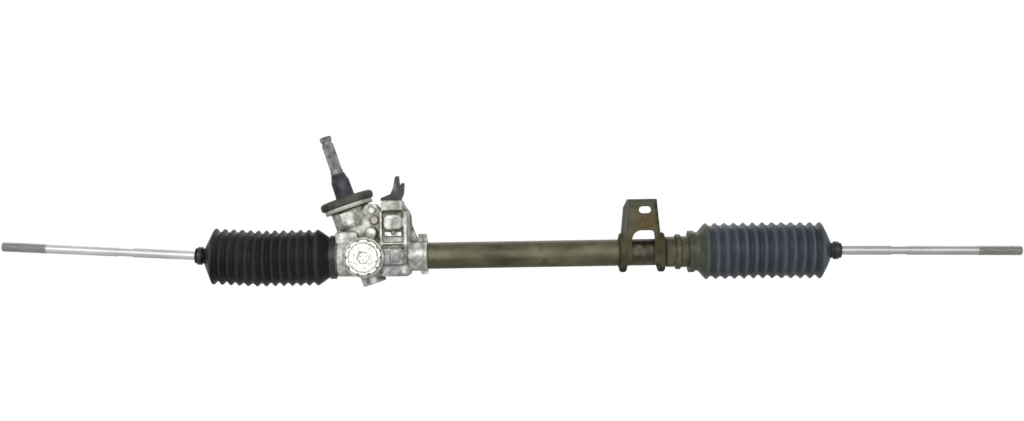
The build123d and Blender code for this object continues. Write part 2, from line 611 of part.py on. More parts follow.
def tube_bracket():
    """Pressed U bracket: a web in front with the bolt slot, and two walls that hold the tube."""
    top = BRACKET_TOP[2]
    span = (BRACKET_BOTTOM[0] - BRACKET_EYE_R, BRACKET_BOTTOM[1] + BRACKET_EYE_R)
    bend = BRACKET_SHEET * 2.3
    shell = bracket_wedge(0, bend) - bracket_wedge(BRACKET_SHEET, bend - BRACKET_SHEET)
    upper = [(BRACKET_FRONT - 1, 0), (BRACKET_FRONT - 1, top + 2), (BRACKET_SHOULDER_Y, top + 2),
             (MOUNT_Y, BRACKET_BACK_Z[1]), (MOUNT_Y, BRACKET_BACK_Z[0]), (BRACKET_EYE_R - 2, 0)]
    side = extrude(make_face(Plane.YZ * Polyline(*upper, close=True)), span[1] - span[0], dir=(1, 0, 0))
    keep = Pos(span[0], 0, 0) * side + bar_x(BRACKET_EYE_R - BRACKET_SHEET / 4, *span)
    window = block(BRACKET_WINDOW_X, (BRACKET_FRONT - 1, BRACKET_FRONT + 8),
                   (BRACKET_BOTTOM[2] - BRACKET_SHEET, BRACKET_WEB_Z))
    window = fillet(window.edges().filter_by(Axis.Y).group_by(Axis.Z)[-1], 5)
    slot = extrude(Plane.XZ * SlotOverall(SLOT_LENGTH, 2 * SLOT_R), 2 * bend, both=True)
    form = (shell & keep) - Pos(SLOT_X, BRACKET_FRONT, SLOT_Z) * slot
    for x in BRACKET_EYES_X:
        eye = bar_x(BRACKET_EYE_R, x - BRACKET_EYE_W / 2, x + BRACKET_EYE_W / 2)
        form += fillet(eye.edges(), 3)
    return form - window - bar_x(TUBE_R, *span)


# ---- Inner joints, tie rods and boots, each in its own side's frame with +X outboard -----------------

def inner_socket():
    """Ball socket that screws into the rack's end, closed round the ball at its mouth."""
    back = -(SOCKET_REACH - WASHER_T)
    mouth = 9.0
    lip = 7.6
    body = turned_x([(back - WASHER_T - STUD_L, 0), (back - WASHER_T - STUD_L, STUD_R), (back, STUD_R),
                     (back, SOCKET_R), (mouth - 3, SOCKET_R), (mouth, SOCKET_R - 3), (mouth, 0)])
    inside = turned_x([(0, 0), (0, BALL_R - 0.8), (lip, BALL_R - 0.8), (mouth, BALL_R), (mouth, 0)])
    flats = block((back, back + 8), (-SOCKET_R, SOCKET_R), (-SOCKET_R, SOCKET_R))
    flats -= block((back, back + 8), (-SOCKET_R, SOCKET_R), (-14, 14))
    ball = Sphere(CAVITY_R) & block((-CAVITY_R, lip), (-CAVITY_R, CAVITY_R), (-CAVITY_R, CAVITY_R))
    return body - ball - inside - flats


def ball_seat():
    """Plastic cup round the ball, open towards the rod."""
    shell = Sphere(SEAT_OUT_R) - Sphere(SEAT_IN_R)
    room = (-SEAT_OUT_R, SEAT_OUT_R)
    return shell & block((-SEAT_OUT_R, SEAT_EDGE), room, room)


def lock_washer():
    """Tab washer between the rack's end and the socket, and the rack's stop face."""
    back = -SOCKET_REACH
    return bar_x(WASHER_R, back, back + WASHER_T) - bar_x(STUD_R, back, back + WASHER_T)


def tie_rod():
    """Ball, shank with wrench flats, and threaded end in one forging."""
    start = ROD_LENGTH - THREAD_L
    neck_end = 24.0
    shank = turned_x([(0, 0), (0, ROD_NECK_R), (neck_end, ROD_NECK_R), (neck_end + 4, ROD_R),
                      (start - 1, ROD_R), (start, THREAD_R), (ROD_LENGTH - 1.5, THREAD_R),
                      (ROD_LENGTH, THREAD_R - 1.5), (ROD_LENGTH, 0)])
    for side in (1, -1):
        low = side * FLATS_WIDTH / 2
        high = side * (ROD_R + 1)
        shank -= block(FLATS_AT, (-ROD_R, ROD_R), tuple(sorted((low, high))))
    return Sphere(BALL_R) + shank


def boot(lap, cuff, cuff_r, first, pitch, neck, seat_r, lift):
    """A bellows that follows the tie rod: straight to the crest by the ball, then at its angle."""
    outer = [(-lap, cuff_r), (cuff, cuff_r)]
    inner = [(-lap, seat_r), (cuff + 1, seat_r)]
    for i in range(PLEATS):
        crest = first + i * pitch
        outer.append((crest - CREST_LAND / 2, CREST_R))
        outer.append((crest + CREST_LAND / 2, CREST_R))
        inner.append((crest, CREST_R - BOOT_WALL))
        if i < PLEATS - 1:
            outer.append((crest + pitch / 2, VALLEY_R))
            inner.append((crest + pitch / 2, VALLEY_R - BOOT_WALL))
    outer += [(neck[0], NECK_R), (neck[1], NECK_R)]
    inner += [(neck[0] - 2, ROD_R + SOFT_GAP), (neck[1], ROD_R + SOFT_GAP)]
    straight = turned_x(outer + inner[::-1])
    bend = first + round((BALL_REACH - first) / pitch) * pitch
    half = radians(lift / 2)
    mitre = Plane(origin=(bend, 0, 0), z_dir=(cos(half), 0, sin(half)))
    turned = Pos(bend, 0, 0) * Rot(0, -lift, 0) * Pos(-bend, 0, 0) * straight
    near = split(straight, bisect_by=mitre, keep=Keep.BOTTOM)
    far = split(turned, bisect_by=mitre, keep=Keep.TOP)
    return Pos(-BALL_REACH, 0, 0) * (near + far)


def clamp_band(inner, start, width):
    """Thin steel band round a boot."""
    return bar_x(inner + BAND_T, start, start + width) - bar_x(inner, start, start + width)


def large_band(cuff_r, lap):
    """Clamp band round a boot's cuff."""
    return clamp_band(cuff_r + SOFT_GAP, -BALL_REACH - lap, BAND_W)


def small_band(neck):
    """Clamp band round a boot's neck, carried by the tie rod."""
    return clamp_band(NECK_R + SOFT_GAP, (sum(neck) - NECK_BAND_W) / 2 - BALL_REACH, NECK_BAND_W)


# ---- Assembly ------------------------------------------------------------------------------------

def steering_rack():
    """Every node by name, in the rack's frame."""
    outer_ring, inner_ring = bearing_rings()
    left, right = LEFT_BOOT, RIGHT_BOOT
    return {
        "pinion_housing": pinion_housing(),
        "breather_screw": breather_screw(),
        "pipe_clip": pipe_clip(),
        "rack_tube": rack_tube(),
        "tube_collar": tube_collar(),
        "tube_bracket": tube_bracket(),
        "rack_bush": rack_bush(),
        "rack_yoke": rack_yoke(),
        "yoke_liner": yoke_liner(),
        "yoke_o_ring": yoke_ring(),
        "yoke_spring": yoke_spring(),
        "adjuster_plug": adjuster_plug(),
        "adjuster_lock_ring": lock_ring(),
        "pinion_shaft": PINION_FRAME * pinion_shaft(),
        "bearing_outer_ring": PINION_FRAME * outer_ring,
        "bearing_inner_ring": PINION_FRAME * inner_ring,
        "bearing_balls": PINION_FRAME * Compound(children=bearing_balls()),
        "bearing_cage": PINION_FRAME * bearing_cage(),
        "shaft_circlip": PINION_FRAME * circlip(
            BEARING_SEAT_R + 2.5, BEARING_SEAT_R - 1, BEARING[1], 1.5, 4),
        "housing_circlip": PINION_FRAME * circlip(BEARING_R + 1.2, BEARING_R - 3, BEARING[1], 1.75, 8),
        "lower_bush": PINION_FRAME * ring_z(BUSH_R, JOURNAL_R + RUNNING, *BUSH),
        "pinion_oil_seal": PINION_FRAME * oil_seal(),
        "tower_ring": PINION_FRAME * ring_z(RING_R, STEM_R + 4, *RING),
        "dust_disc": PINION_FRAME * dust_disc(),
        "dust_sleeve": PINION_FRAME * dust_sleeve(),
        "rack_bar": rack_bar(),
        "inner_socket_left": LEFT_FRAME * inner_socket(),
        "inner_socket_right": RIGHT_FRAME * inner_socket(),
        "lock_washer_left": LEFT_FRAME * lock_washer(),
        "lock_washer_right": RIGHT_FRAME * lock_washer(),
        "ball_seat_left": LEFT_FRAME * ball_seat(),
        "ball_seat_right": RIGHT_FRAME * ball_seat(),
        "tie_rod_left": LEFT_ROD_FRAME * tie_rod(),
        "tie_rod_right": RIGHT_ROD_FRAME * tie_rod(),
        "boot_left": LEFT_FRAME * boot(**left, seat_r=SPIGOT_R, lift=LEFT_LIFT),
        "boot_right": RIGHT_FRAME * boot(**right, seat_r=RIGHT_SEAT_R, lift=RIGHT_LIFT),
        "boot_band_left": LEFT_FRAME * large_band(left["cuff_r"], left["lap"]),
        "boot_band_right": RIGHT_FRAME * large_band(right["cuff_r"], right["lap"]),
        "neck_band_left": LEFT_ROD_FRAME * small_band(left["neck"]),
        "neck_band_right": RIGHT_ROD_FRAME * small_band(right["neck"]),
    }


os.makedirs("parts", exist_ok=True)
for node, shape in steering_rack().items():
    export_step(ROW_FRAME * shape, f"parts/{node}.step")
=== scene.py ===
from functools import partial
import json
import math
import bmesh
import bpy
import numpy as np
from mathutils import Matrix, Vector


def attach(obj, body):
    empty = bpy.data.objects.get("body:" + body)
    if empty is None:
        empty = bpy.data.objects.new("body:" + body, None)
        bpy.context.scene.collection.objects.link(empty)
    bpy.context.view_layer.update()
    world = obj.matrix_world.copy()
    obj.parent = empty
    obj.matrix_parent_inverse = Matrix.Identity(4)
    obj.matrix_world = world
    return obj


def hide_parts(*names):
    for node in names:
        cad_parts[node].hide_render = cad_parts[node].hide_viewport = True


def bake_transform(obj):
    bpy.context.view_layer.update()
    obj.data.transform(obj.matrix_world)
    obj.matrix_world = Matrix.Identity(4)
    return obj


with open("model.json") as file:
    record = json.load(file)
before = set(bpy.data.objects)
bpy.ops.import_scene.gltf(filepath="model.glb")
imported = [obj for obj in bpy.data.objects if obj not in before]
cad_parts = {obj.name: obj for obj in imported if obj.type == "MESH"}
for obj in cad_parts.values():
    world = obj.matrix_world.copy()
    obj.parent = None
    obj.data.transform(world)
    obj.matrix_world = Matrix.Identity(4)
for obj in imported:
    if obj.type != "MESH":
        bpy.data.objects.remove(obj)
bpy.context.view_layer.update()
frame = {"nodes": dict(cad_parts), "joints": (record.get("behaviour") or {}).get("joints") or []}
nodes = frame["nodes"]

# ---- Pinion housing ------------------------------------------------------------------------------
# Die-cast aluminium with small radii at every edge and join, grey where it is clean, olive-brown with oil
# and painted shade in its corners, with painted shade on its sides that turn from the light and painted
# highlights on its raised and rounded faces.  The finish is the mould's own fine grain.

RACK_AXIS = Vector((0.0, -0.040, -0.0205))
# Darker patches: painted shade on the sides that turn from the light, under overhangs and round bosses,
# with some oil.
SHADE_AND_OIL_PATCHES = (            # where, how far, the tint, and its share
    ((-0.0430, -0.0520, 0.0270), 0.0110, (186, 184, 166), 0.9),     # tower, beside its pad
    ((-0.0300, -0.0460, 0.0040), 0.0080, (170, 168, 150), 0.5),     # under the round lump
    ((0.0240, -0.0450, 0.0220), 0.0130, (150, 146, 122), 0.9),      # slope beside the block
    ((-0.0660, -0.0550, 0.0240), 0.0100, (196, 199, 208), 0.9),     # tower's left flank
    ((0.0020, -0.0600, -0.0300), 0.0200, (196, 199, 204), 0.9),     # block, low on its front
    ((0.0300, -0.0600, -0.0300), 0.0130, (208, 206, 202), 0.9),     # tube socket
    ((0.0000, -0.0600, 0.0200), 0.0100, (206, 204, 196), 0.7),      # pillow in the block
    ((0.0020, -0.0600, 0.0420), 0.0120, (202, 202, 194), 0.8),      # block's cap
    ((0.0140, -0.0660, -0.0110), 0.0080, (140, 140, 138), 0.9),     # right edge of the block's pad
    ((0.0140, -0.0660, -0.0230), 0.0080, (140, 140, 138), 0.9),
    ((-0.0410, -0.0520, 0.0360), 0.0110, (160, 158, 136), 0.9),     # tower, beside its ring
    ((0.0012, -0.0650, -0.0268), 0.0200, (235, 235, 236), 1.0),     # all round the block's pad
    ((0.0337, -0.0460, 0.0044), 0.0070, (156, 158, 156), 0.9),      # upper lug
    ((0.0190, -0.0450, 0.0283), 0.0040, (120, 122, 110), 0.8),      # top of the slope
    ((0.0223, -0.0420, 0.0132), 0.0030, (130, 130, 118), 0.8),      # middle of the slope
    ((0.0280, -0.0470, -0.0379), 0.0060, (176, 172, 162), 0.8),     # under the tube socket
    ((-0.0262, -0.0460, 0.0242), 0.0080, (136, 134, 120), 0.8),     # round the screw
    ((-0.0335, -0.0403, -0.0515), 0.0055, (150, 150, 144), 0.8),    # both ends of the lower boss
    ((-0.0170, -0.0403, -0.0450), 0.0070, (158, 158, 152), 0.8))
# Lighter patches: painted highlights on raised and rounded faces, with some clean metal.
CLEAN_AND_HIGHLIGHT_PATCHES = (
    ((-0.0049, -0.0635, 0.0068), 0.0035, (238, 238, 232), 0.8),     # ledge, both sides of its notch
    ((0.0071, -0.0635, 0.0066), 0.0035, (238, 238, 232), 0.8),
    ((-0.0285, -0.0403, -0.0495), 0.0055, (226, 226, 222), 0.75),   # middle of the lower boss
    ((0.0005, -0.0620, -0.0210), 0.0045, (192, 192, 186), 0.6),     # pad on the block
    ((-0.0278, -0.0530, 0.0117), 0.0045, (224, 224, 216), 0.6),     # round lump above the adjuster
    ((-0.0284, -0.0490, 0.0356), 0.0050, (210, 210, 202), 0.6),     # small boss beside the tower
    ((-0.0350, -0.0460, 0.0180), 0.0060, (200, 198, 186), 0.6))     # web beside the tower
SMALL_BOSS_X, SMALL_BOSS_Z, SMALL_BOSS_RADIUS = -0.0285, 0.0375, 0.0045
SMALL_BOSS_Y = (-0.050, -0.040)


def tone(red, green, blue):
    """A colour from screen values of 0 to 255."""
    parts = [v / 255 for v in (red, green, blue)]
    return tuple(((p + 0.055) / 1.055) ** 2.4 if p > 0.04 else p / 12.92 for p in parts) + (1.0,)


def plain_finish(name, colour, roughness, metallic=0.0, gloss=0.5):
    """A finish with one colour, ready for patterns: its material, its tree and its shader."""
    material = bpy.data.materials.new(name)
    material.use_nodes = True
    shader = material.node_tree.nodes["Principled BSDF"]
    shader.inputs["Base Color"].default_value = colour
    shader.inputs["Roughness"].default_value = roughness
    shader.inputs["Metallic"].default_value = metallic
    shader.inputs["Specular IOR Level"].default_value = gloss
    return material, material.node_tree, shader


def cloud(tree, scale, detail=4.0, stretch=(1.0, 1.0, 1.0)):
    """Noise on the piece itself, scale in patches per metre, stretched along an axis if wanted."""
    where = tree.nodes.new("ShaderNodeTexCoord")
    mapping = tree.nodes.new("ShaderNodeMapping")
    mapping.vector_type = "TEXTURE"
    mapping.inputs["Scale"].default_value = stretch
    noise = tree.nodes.new("ShaderNodeTexNoise")
    noise.inputs["Scale"].default_value = scale
    noise.inputs["Detail"].default_value = detail
    tree.links.new(where.outputs["Object"], mapping.inputs["Vector"])
    tree.links.new(mapping.outputs["Vector"], noise.inputs["Vector"])
    return noise.outputs["Fac"]


def ramp(tree, value, stops):
    """Colours laid along a value."""
    node = tree.nodes.new("ShaderNodeValToRGB")
    bands = node.color_ramp.elements
    while len(bands) < len(stops):
        bands.new(0.5)
    for band, (place, colour) in zip(bands, stops):
        band.position = place
        band.color = colour
    tree.links.new(value, node.inputs["Fac"])
    return node.outputs["Color"]


def blend_colours(tree, share, first, second, how="MIX"):
    """Two colours mixed by a share; each is a socket or a plain colour."""
    mix = tree.nodes.new("ShaderNodeMix")
    mix.data_type = "RGBA"
    mix.blend_type = how
    for socket, value in ((0, share), (6, first), (7, second)):
        if isinstance(value, bpy.types.NodeSocket):
            tree.links.new(value, mix.inputs[socket])
        else:
            mix.inputs[socket].default_value = value
    return mix.outputs[2]


def spread(tree, value, low, high, start=0.0, end=1.0):
    """A value moved to a new range, smoothly."""
    node = tree.nodes.new("ShaderNodeMapRange")
    node.interpolation_type = "SMOOTHSTEP"
    for key, number in (("From Min", start), ("From Max", end), ("To Min", low), ("To Max", high)):
        node.inputs[key].default_value = number
    tree.links.new(value, node.inputs["Value"])
    return node.outputs["Result"]


def calc(tree, operation, *values):
    """One step of arithmetic on sockets or plain numbers."""
    node = tree.nodes.new("ShaderNodeMath")
    node.operation = operation
    for socket, value in zip(node.inputs, values):
        if isinstance(value, bpy.types.NodeSocket):
            tree.links.new(value, socket)
        else:
            socket.default_value = value
    return node.outputs[0]


def bump(tree, shader, height, strength, depth):
    """Fine relief from a height pattern, its depth in metres."""
    node = tree.nodes.new("ShaderNodeBump")
    node.inputs["Strength"].default_value = strength
    node.inputs["Distance"].default_value = depth
    tree.links.new(height, node.inputs["Height"])
    previous = shader.inputs["Normal"].links
    if previous:
        tree.links.new(previous[0].from_socket, node.inputs["Normal"])
    tree.links.new(node.outputs["Normal"], shader.inputs["Normal"])


def corners(tree, reach):
    """1 in the open and 0 deep in a corner."""
    node = tree.nodes.new("ShaderNodeAmbientOcclusion")
    node.samples = 8
    node.inputs["Distance"].default_value = reach
    return node.outputs["AO"]


def measured(tree, operation, vector):
    """How far a place on the object is from a point, or how far it lies along a direction."""
    where = tree.nodes.new("ShaderNodeTexCoord")
    node = tree.nodes.new("ShaderNodeVectorMath")
    node.operation = operation
    node.inputs[1].default_value = vector
    tree.links.new(where.outputs["Object"], node.inputs[0])
    return node.outputs["Value"]


def patch(tree, centre, reach):
    """1 at a place on the object, fading to 0 at a distance, with a ragged edge."""
    away = measured(tree, "DISTANCE", centre)
    ragged = calc(tree, "MULTIPLY_ADD", cloud(tree, 160, 5), reach * 1.2, away)
    return spread(tree, ragged, 1, 0, reach * 0.9, reach * 1.8)


def spotted(tree, base, patches, how="MULTIPLY"):
    """A colour changed at each of some places on the object."""
    for centre, reach, colour, share in patches:
        strength = spread(tree, patch(tree, centre, reach), 0, share)
        base = blend_colours(tree, strength, base, tone(*colour), how)
    return base


def cast_aluminium():
    """As-cast metal with oil, road dust and painted shade in its corners, painted shade on the sides that
    turn from the light, and painted highlights on its raised faces.
    """
    material, tree, shader = plain_finish("cast_aluminium", tone(176, 177, 170), 0.5, 0.2, 0.35)
    clean = ramp(tree, cloud(tree, 130, 6), [(0.32, tone(132, 132, 127)), (0.5, tone(168, 168, 163)),
                                             (0.64, tone(206, 206, 200))])
    # Darker colour for the corners, found by ambient occlusion: oil, road dust and painted shade.
    corner_grime_and_shade = ramp(tree, cloud(tree, 260), [(0.35, tone(66, 65, 50)), (0.65, tone(112, 110, 92))])
    unshaded = spread(tree, corners(tree, 0.009), 0, 1, 0.42, 0.97)
    base = spotted(tree, blend_colours(tree, unshaded, corner_grime_and_shade, clean), SHADE_AND_OIL_PATCHES)
    tree.links.new(spotted(tree, base, CLEAN_AND_HIGHLIGHT_PATCHES, "MIX"), shader.inputs["Base Color"])
    tree.links.new(spread(tree, cloud(tree, 400), 0.38, 0.62), shader.inputs["Roughness"])
    bump(tree, shader, cloud(tree, 1500, 6), 0.35, 0.0004)
    bump(tree, shader, cloud(tree, 260, 3), 0.3, 0.0006)
    return material


def merged_copy(node):
    """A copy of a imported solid's mesh with its triangles joined up."""
    bm = bmesh.new()
    bm.from_mesh(nodes[node].data)
    bmesh.ops.remove_doubles(bm, verts=bm.verts, dist=1e-6)
    return bm


def add_piece(name, bm, material, sharp=35.0):
    """A new object from a mesh, shaded smooth up to an angle."""
    mesh = bpy.data.meshes.new(name)
    bm.to_mesh(mesh)
    bm.free()
    mesh.materials.append(material)
    mesh.shade_smooth()
    mesh.set_sharp_from_angle(angle=math.radians(sharp))
    piece = bpy.data.objects.new(name, mesh)
    bpy.context.scene.collection.objects.link(piece)
    return piece


def apply_modifiers(piece):
    """Makes a piece's modifiers part of its mesh."""
    graph = bpy.context.evaluated_depsgraph_get()
    mesh = bpy.data.meshes.new_from_object(piece.evaluated_get(graph))
    piece.modifiers.clear()
    old = piece.data
    piece.data = mesh
    bpy.data.meshes.remove(old)


def finished(piece, body, stands_for):
    """Puts a piece on its body and the solid that it stands for."""
    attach(piece, body)
    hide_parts(stands_for)


def stub(bm, radius, ends, x, z, sides=40):
    """Adds a round boss along Y to a mesh."""
    place = Matrix.Translation((x, sum(ends) / 2, z)) @ Matrix.Rotation(math.radians(90), 4, "X")
    bmesh.ops.create_cone(bm, cap_ends=True, segments=sides, radius1=radius, radius2=radius,
                          depth=ends[1] - ends[0], matrix=place)


def softened(name, bm, material, voxel, rounds):
    """A piece cast or pressed with small radii: its forms joined, and every edge rounded."""
    piece = add_piece(name, bm, material, 180)
    remesh = piece.modifiers.new("skin", "REMESH")
    remesh.mode = "VOXEL"
    remesh.voxel_size = voxel
    soften = piece.modifiers.new("radii", "SMOOTH")
    soften.factor = 0.5
    soften.iterations = rounds
    apply_modifiers(piece)
    piece.data.shade_smooth()
    return piece


form = merged_copy("pinion_housing")
stub(form, SMALL_BOSS_RADIUS, SMALL_BOSS_Y, SMALL_BOSS_X, SMALL_BOSS_Z)
casting = softened("housing_casting", form, cast_aluminium(), voxel=0.00093, rounds=3)
finished(casting, "housing", "pinion_housing")

# ---- Tube, collar and bracket --------------------------------------------------------------------
# Steel tube with a pressed bracket and a turned collar, all with an olive chromate finish that has
# darkened unevenly and carries brown stains, with painted shade and painted highlights on the tube
# and the bracket.  Two weld beads fix each eye of the bracket to the tube.

TUBE_RADIUS = 0.0165
BRACKET_EYES, EYE_HALF_WIDTH = (0.2836, 0.3312), 0.0043
BEAD, BEAD_OFF_TUBE = 0.0013, 0.0010
WINDOW_CORNER, GUSSET_REACH, GUSSET_ROOT = (0.2943, 0.0072), 0.0115, 0.0015
GUSSET_Y = (-0.0619, -0.0591)
SIDE_CORNER, SIDE_OUTWARD = Vector((0.2903, -0.052, 0.0457)), Vector((-0.9945, 0.0, 0.1046))
# Multiplying tints: oil with painted shade, painted shade along the tube's top, and painted shade on the
# bracket's walls.
OIL_AND_SHADE_TINT, TUBE_TOP_SHADE, WALL_SHADE = (0.6, 0.6, 0.56, 1), (0.74, 0.74, 0.78, 1), (0.26, 0.24, 0.28, 1)
# Painted shadow under the bracket's web, and painted shade between its eyes, on the tube.
UNDER_WEB_SHADOW = [((x, -0.050, -0.0085), 0.0085, (130, 124, 124), 0.9) for x in (0.297, 0.305, 0.313, 0.321)]
BETWEEN_EYES_SHADE = [((x, -0.055, -0.0225), 0.0120, (206, 200, 212), 0.9) for x in (0.299, 0.309, 0.319)]
# Painted shade along the web's right edge, where the right wall turns from the light.
WEB_EDGE_SHADE = [((x, -0.062, z), 0.0055, (128, 125, 119), 0.8)
            for x, z in ((0.3262, 0.038), (0.3275, 0.028), (0.3288, 0.018), (0.3300, 0.008))]
# A greyer band along the web's top: painted reflection on its top bend.
WEB_TOP_SHEEN = [((x, -0.061, 0.0450), 0.0075, (72, 76, 70), 0.7) for x in (0.297, 0.309, 0.321)]
RUST_PATCHES = (((0.3134, -0.062, 0.0205), 0.015, 0.55), ((0.3040, -0.062, 0.0150), 0.008, 0.45))


def place_on(tree):
    """The X, Y and Z of a place on the object."""
    where = tree.nodes.new("ShaderNodeTexCoord")
    parts = tree.nodes.new("ShaderNodeSeparateXYZ")
    tree.links.new(where.outputs["Object"], parts.inputs[0])
    return parts.outputs["X"], parts.outputs["Y"], parts.outputs["Z"]


def olive_steel(name, dark, light, stain, soiled_and_shaded=None, gloss=0.12):
    """Olive passivated steel, cloudy along the tube, with brown stains, and oil and painted shade in its
    corners.
    """
    material, tree, shader = plain_finish(name, light, 0.45, 0.0, gloss)
    base = ramp(tree, cloud(tree, 60, 5, (3.0, 1.0, 1.0)), [(0.32, dark), (0.66, light)])
    base = blend_colours(tree, spread(tree, cloud(tree, 90, 6), 0, 0.8, 0.5, 0.7), base, stain)
    # Corners darkened by ambient occlusion: oil and painted shade.
    oil_and_shade_in_corners = spread(tree, corners(tree, 0.010), 1, 0, 0.4, 0.95)
    base = blend_colours(tree, oil_and_shade_in_corners, base, OIL_AND_SHADE_TINT, "MULTIPLY")
    if soiled_and_shaded:
        base = soiled_and_shaded(tree, base)
    tree.links.new(base, shader.inputs["Base Color"])
    tree.links.new(spread(tree, cloud(tree, 300, 4), 0.34, 0.6), shader.inputs["Roughness"])
    bump(tree, shader, cloud(tree, 900, 4), 0.2, 0.0003)
    return material


def shaded_tube(tree, base):
    """Painted shade along the tube's underside and along its top, a painted shadow under the bracket's web,
    and painted shade between the bracket's eyes.
    """
    up = place_on(tree)[2]
    base = blend_colours(tree, spread(tree, up, 0.8, 0, -0.026, -0.021), base, OIL_AND_SHADE_TINT, "MULTIPLY")
    base = blend_colours(tree, spread(tree, up, 0, 1, -0.018, -0.010), base, TUBE_TOP_SHADE, "MULTIPLY")
    return spotted(tree, base, UNDER_WEB_SHADOW + BETWEEN_EYES_SHADE)


def soiled_and_shaded_bracket(tree, base):
    """Oil and painted shade low down, painted shade on the walls and the web's right edge, a painted
    highlight on the left wall's front bend, a painted reflection along the web's top, and rust below the
    slot.
    """
    _, back, up = place_on(tree)
    # Darker low down: oil and painted shade.
    base = blend_colours(tree, spread(tree, up, 0.8, 0, -0.006, 0.008), base, OIL_AND_SHADE_TINT, "MULTIPLY")
    # The walls darken with depth: painted shade.
    shade_and_grime = calc(tree, "MULTIPLY", spread(tree, back, 0, 0.8, -0.058, -0.050),
                 spread(tree, back, 1, 0.2, -0.034, -0.026))
    base = blend_colours(tree, shade_and_grime, base, WALL_SHADE, "MULTIPLY")
    # A lighter strip near the left wall's front bend: a painted highlight.
    proud, flush = measured(tree, "DOT_PRODUCT", SIDE_OUTWARD), SIDE_CORNER.dot(SIDE_OUTWARD)
    wear_and_highlight = spread(tree, proud, 0, 0.75, flush - 0.0016, flush - 0.0004)
    for limit in (spread(tree, proud, 1, 0, flush + 0.0008, flush + 0.0022),
                  spread(tree, back, 1, 0, SIDE_CORNER.y, SIDE_CORNER.y + 0.006),
                  spread(tree, up, 0, 1, -0.006, 0.006)):
        wear_and_highlight = calc(tree, "MULTIPLY", wear_and_highlight, limit)
    base = blend_colours(tree, wear_and_highlight, base, tone(116, 115, 112))
    base = spotted(tree, spotted(tree, base, WEB_EDGE_SHADE), WEB_TOP_SHEEN, "MIX")
    rust = ramp(tree, cloud(tree, 420, 6), [(0.34, tone(58, 50, 34)), (0.66, tone(110, 92, 56))])
    for centre, reach, share in RUST_PATCHES:
        base = blend_colours(tree, spread(tree, patch(tree, centre, reach), 0, share), base, rust)
    return base


def skin_rings(bm, rings):
    """Adds the faces that join a closed run of closed rings of vertices."""
    sides = len(rings[0])
    for i in range(len(rings)):
        near, far = rings[i], rings[(i + 1) % len(rings)]
        for j in range(sides):
            k = (j + 1) % sides
            bm.faces.new((near[j], near[k], far[k], far[j]))


def weld_bead(bm, x, radius, thickness, steps=120, sides=10):
    """Adds a rippled ring of weld about the rack's axis to a mesh."""
    rings = []
    for i in range(steps):
        angle = 2 * math.pi * i / steps
        swell = thickness * (1 + 0.18 * math.sin(angle * 31) + 0.1 * math.sin(angle * 13 + 1))
        ring = []
        for j in range(sides):
            around = 2 * math.pi * j / sides
            reach = radius + swell * math.cos(around)
            ring.append(bm.verts.new((x + swell * math.sin(around), RACK_AXIS.y + reach * math.cos(angle),
                                      RACK_AXIS.z + reach * math.sin(angle))))
        rings.append(ring)
    skin_rings(bm, rings)


def window_gusset(bm, steps=12):
    """Adds the rounded gusset in the upper corner of the bracket's window."""
    x, z = WINDOW_CORNER
    angles = [i * math.pi / 2 / steps for i in range(steps + 1)]
    outline = [(x - GUSSET_ROOT, z - GUSSET_REACH)]
    outline += [(x + GUSSET_REACH * (1 - math.cos(angle)), z - GUSSET_REACH * (1 - math.sin(angle)))
                for angle in angles]
    outline += [(x + GUSSET_REACH, z + GUSSET_ROOT), (x - GUSSET_ROOT, z + GUSSET_ROOT)]
    near, far = ([bm.verts.new((px, y, pz)) for px, pz in outline] for y in GUSSET_Y)
    bm.faces.new(near)
    bm.faces.new(far[::-1])
    for i in range(len(outline)):
        j = (i + 1) % len(outline)
        bm.faces.new((near[i], far[i], far[j], near[j]))


def dress(material, *names):
    """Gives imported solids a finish."""
    for name in names:
        nodes[name].data.materials.clear()
        nodes[name].data.materials.append(material)


dress(olive_steel("olive_tube", tone(67, 66, 51), tone(109, 106, 84), tone(88, 81, 58), shaded_tube),
      "rack_tube")
dress(olive_steel("olive_collar", tone(42, 42, 32), tone(98, 96, 77), tone(66, 60, 42)), "tube_collar")
form = merged_copy("tube_bracket")
window_gusset(form)
for eye_x in BRACKET_EYES:
    for side in (-1, 1):
        weld_bead(form, eye_x + side * EYE_HALF_WIDTH, TUBE_RADIUS + BEAD_OFF_TUBE, BEAD)
bmesh.ops.recalc_face_normals(form, faces=form.faces)
bracket_finish = olive_steel("olive_bracket", tone(62, 60, 45), tone(92, 89, 71), tone(82, 74, 51),
                             soiled_and_shaded_bracket, gloss=0.02)
bracket = softened("pressed_bracket", form, bracket_finish, voxel=0.0007, rounds=2)
finished(bracket, "housing", "tube_bracket")

# ---- Rack, pinion bearing and rack guide ---------------------------------------------------------
# The working parts inside: the rack with its ball sockets, the pinion's bearing, bush and seal, and
# the sprung yoke.  The metal is ground, turned or pressed, and the plastic and rubber are moulded.

def turned_steel(name, dark, light, roughness, axis=(1.0, 1.0, 1.0), metallic=1.0, gloss=0.5):
    """Ground or turned metal with fine marks round it."""
    material, tree, shader = plain_finish(name, light, roughness, metallic, gloss)
    base = ramp(tree, cloud(tree, 120, 3), [(0.3, dark), (0.7, light)])
    tree.links.new(base, shader.inputs["Base Color"])
    marks = cloud(tree, 1500, 3, axis)
    tree.links.new(spread(tree, marks, roughness - 0.1, roughness + 0.12), shader.inputs["Roughness"])
    bump(tree, shader, marks, 0.1, 0.0002)
    return material


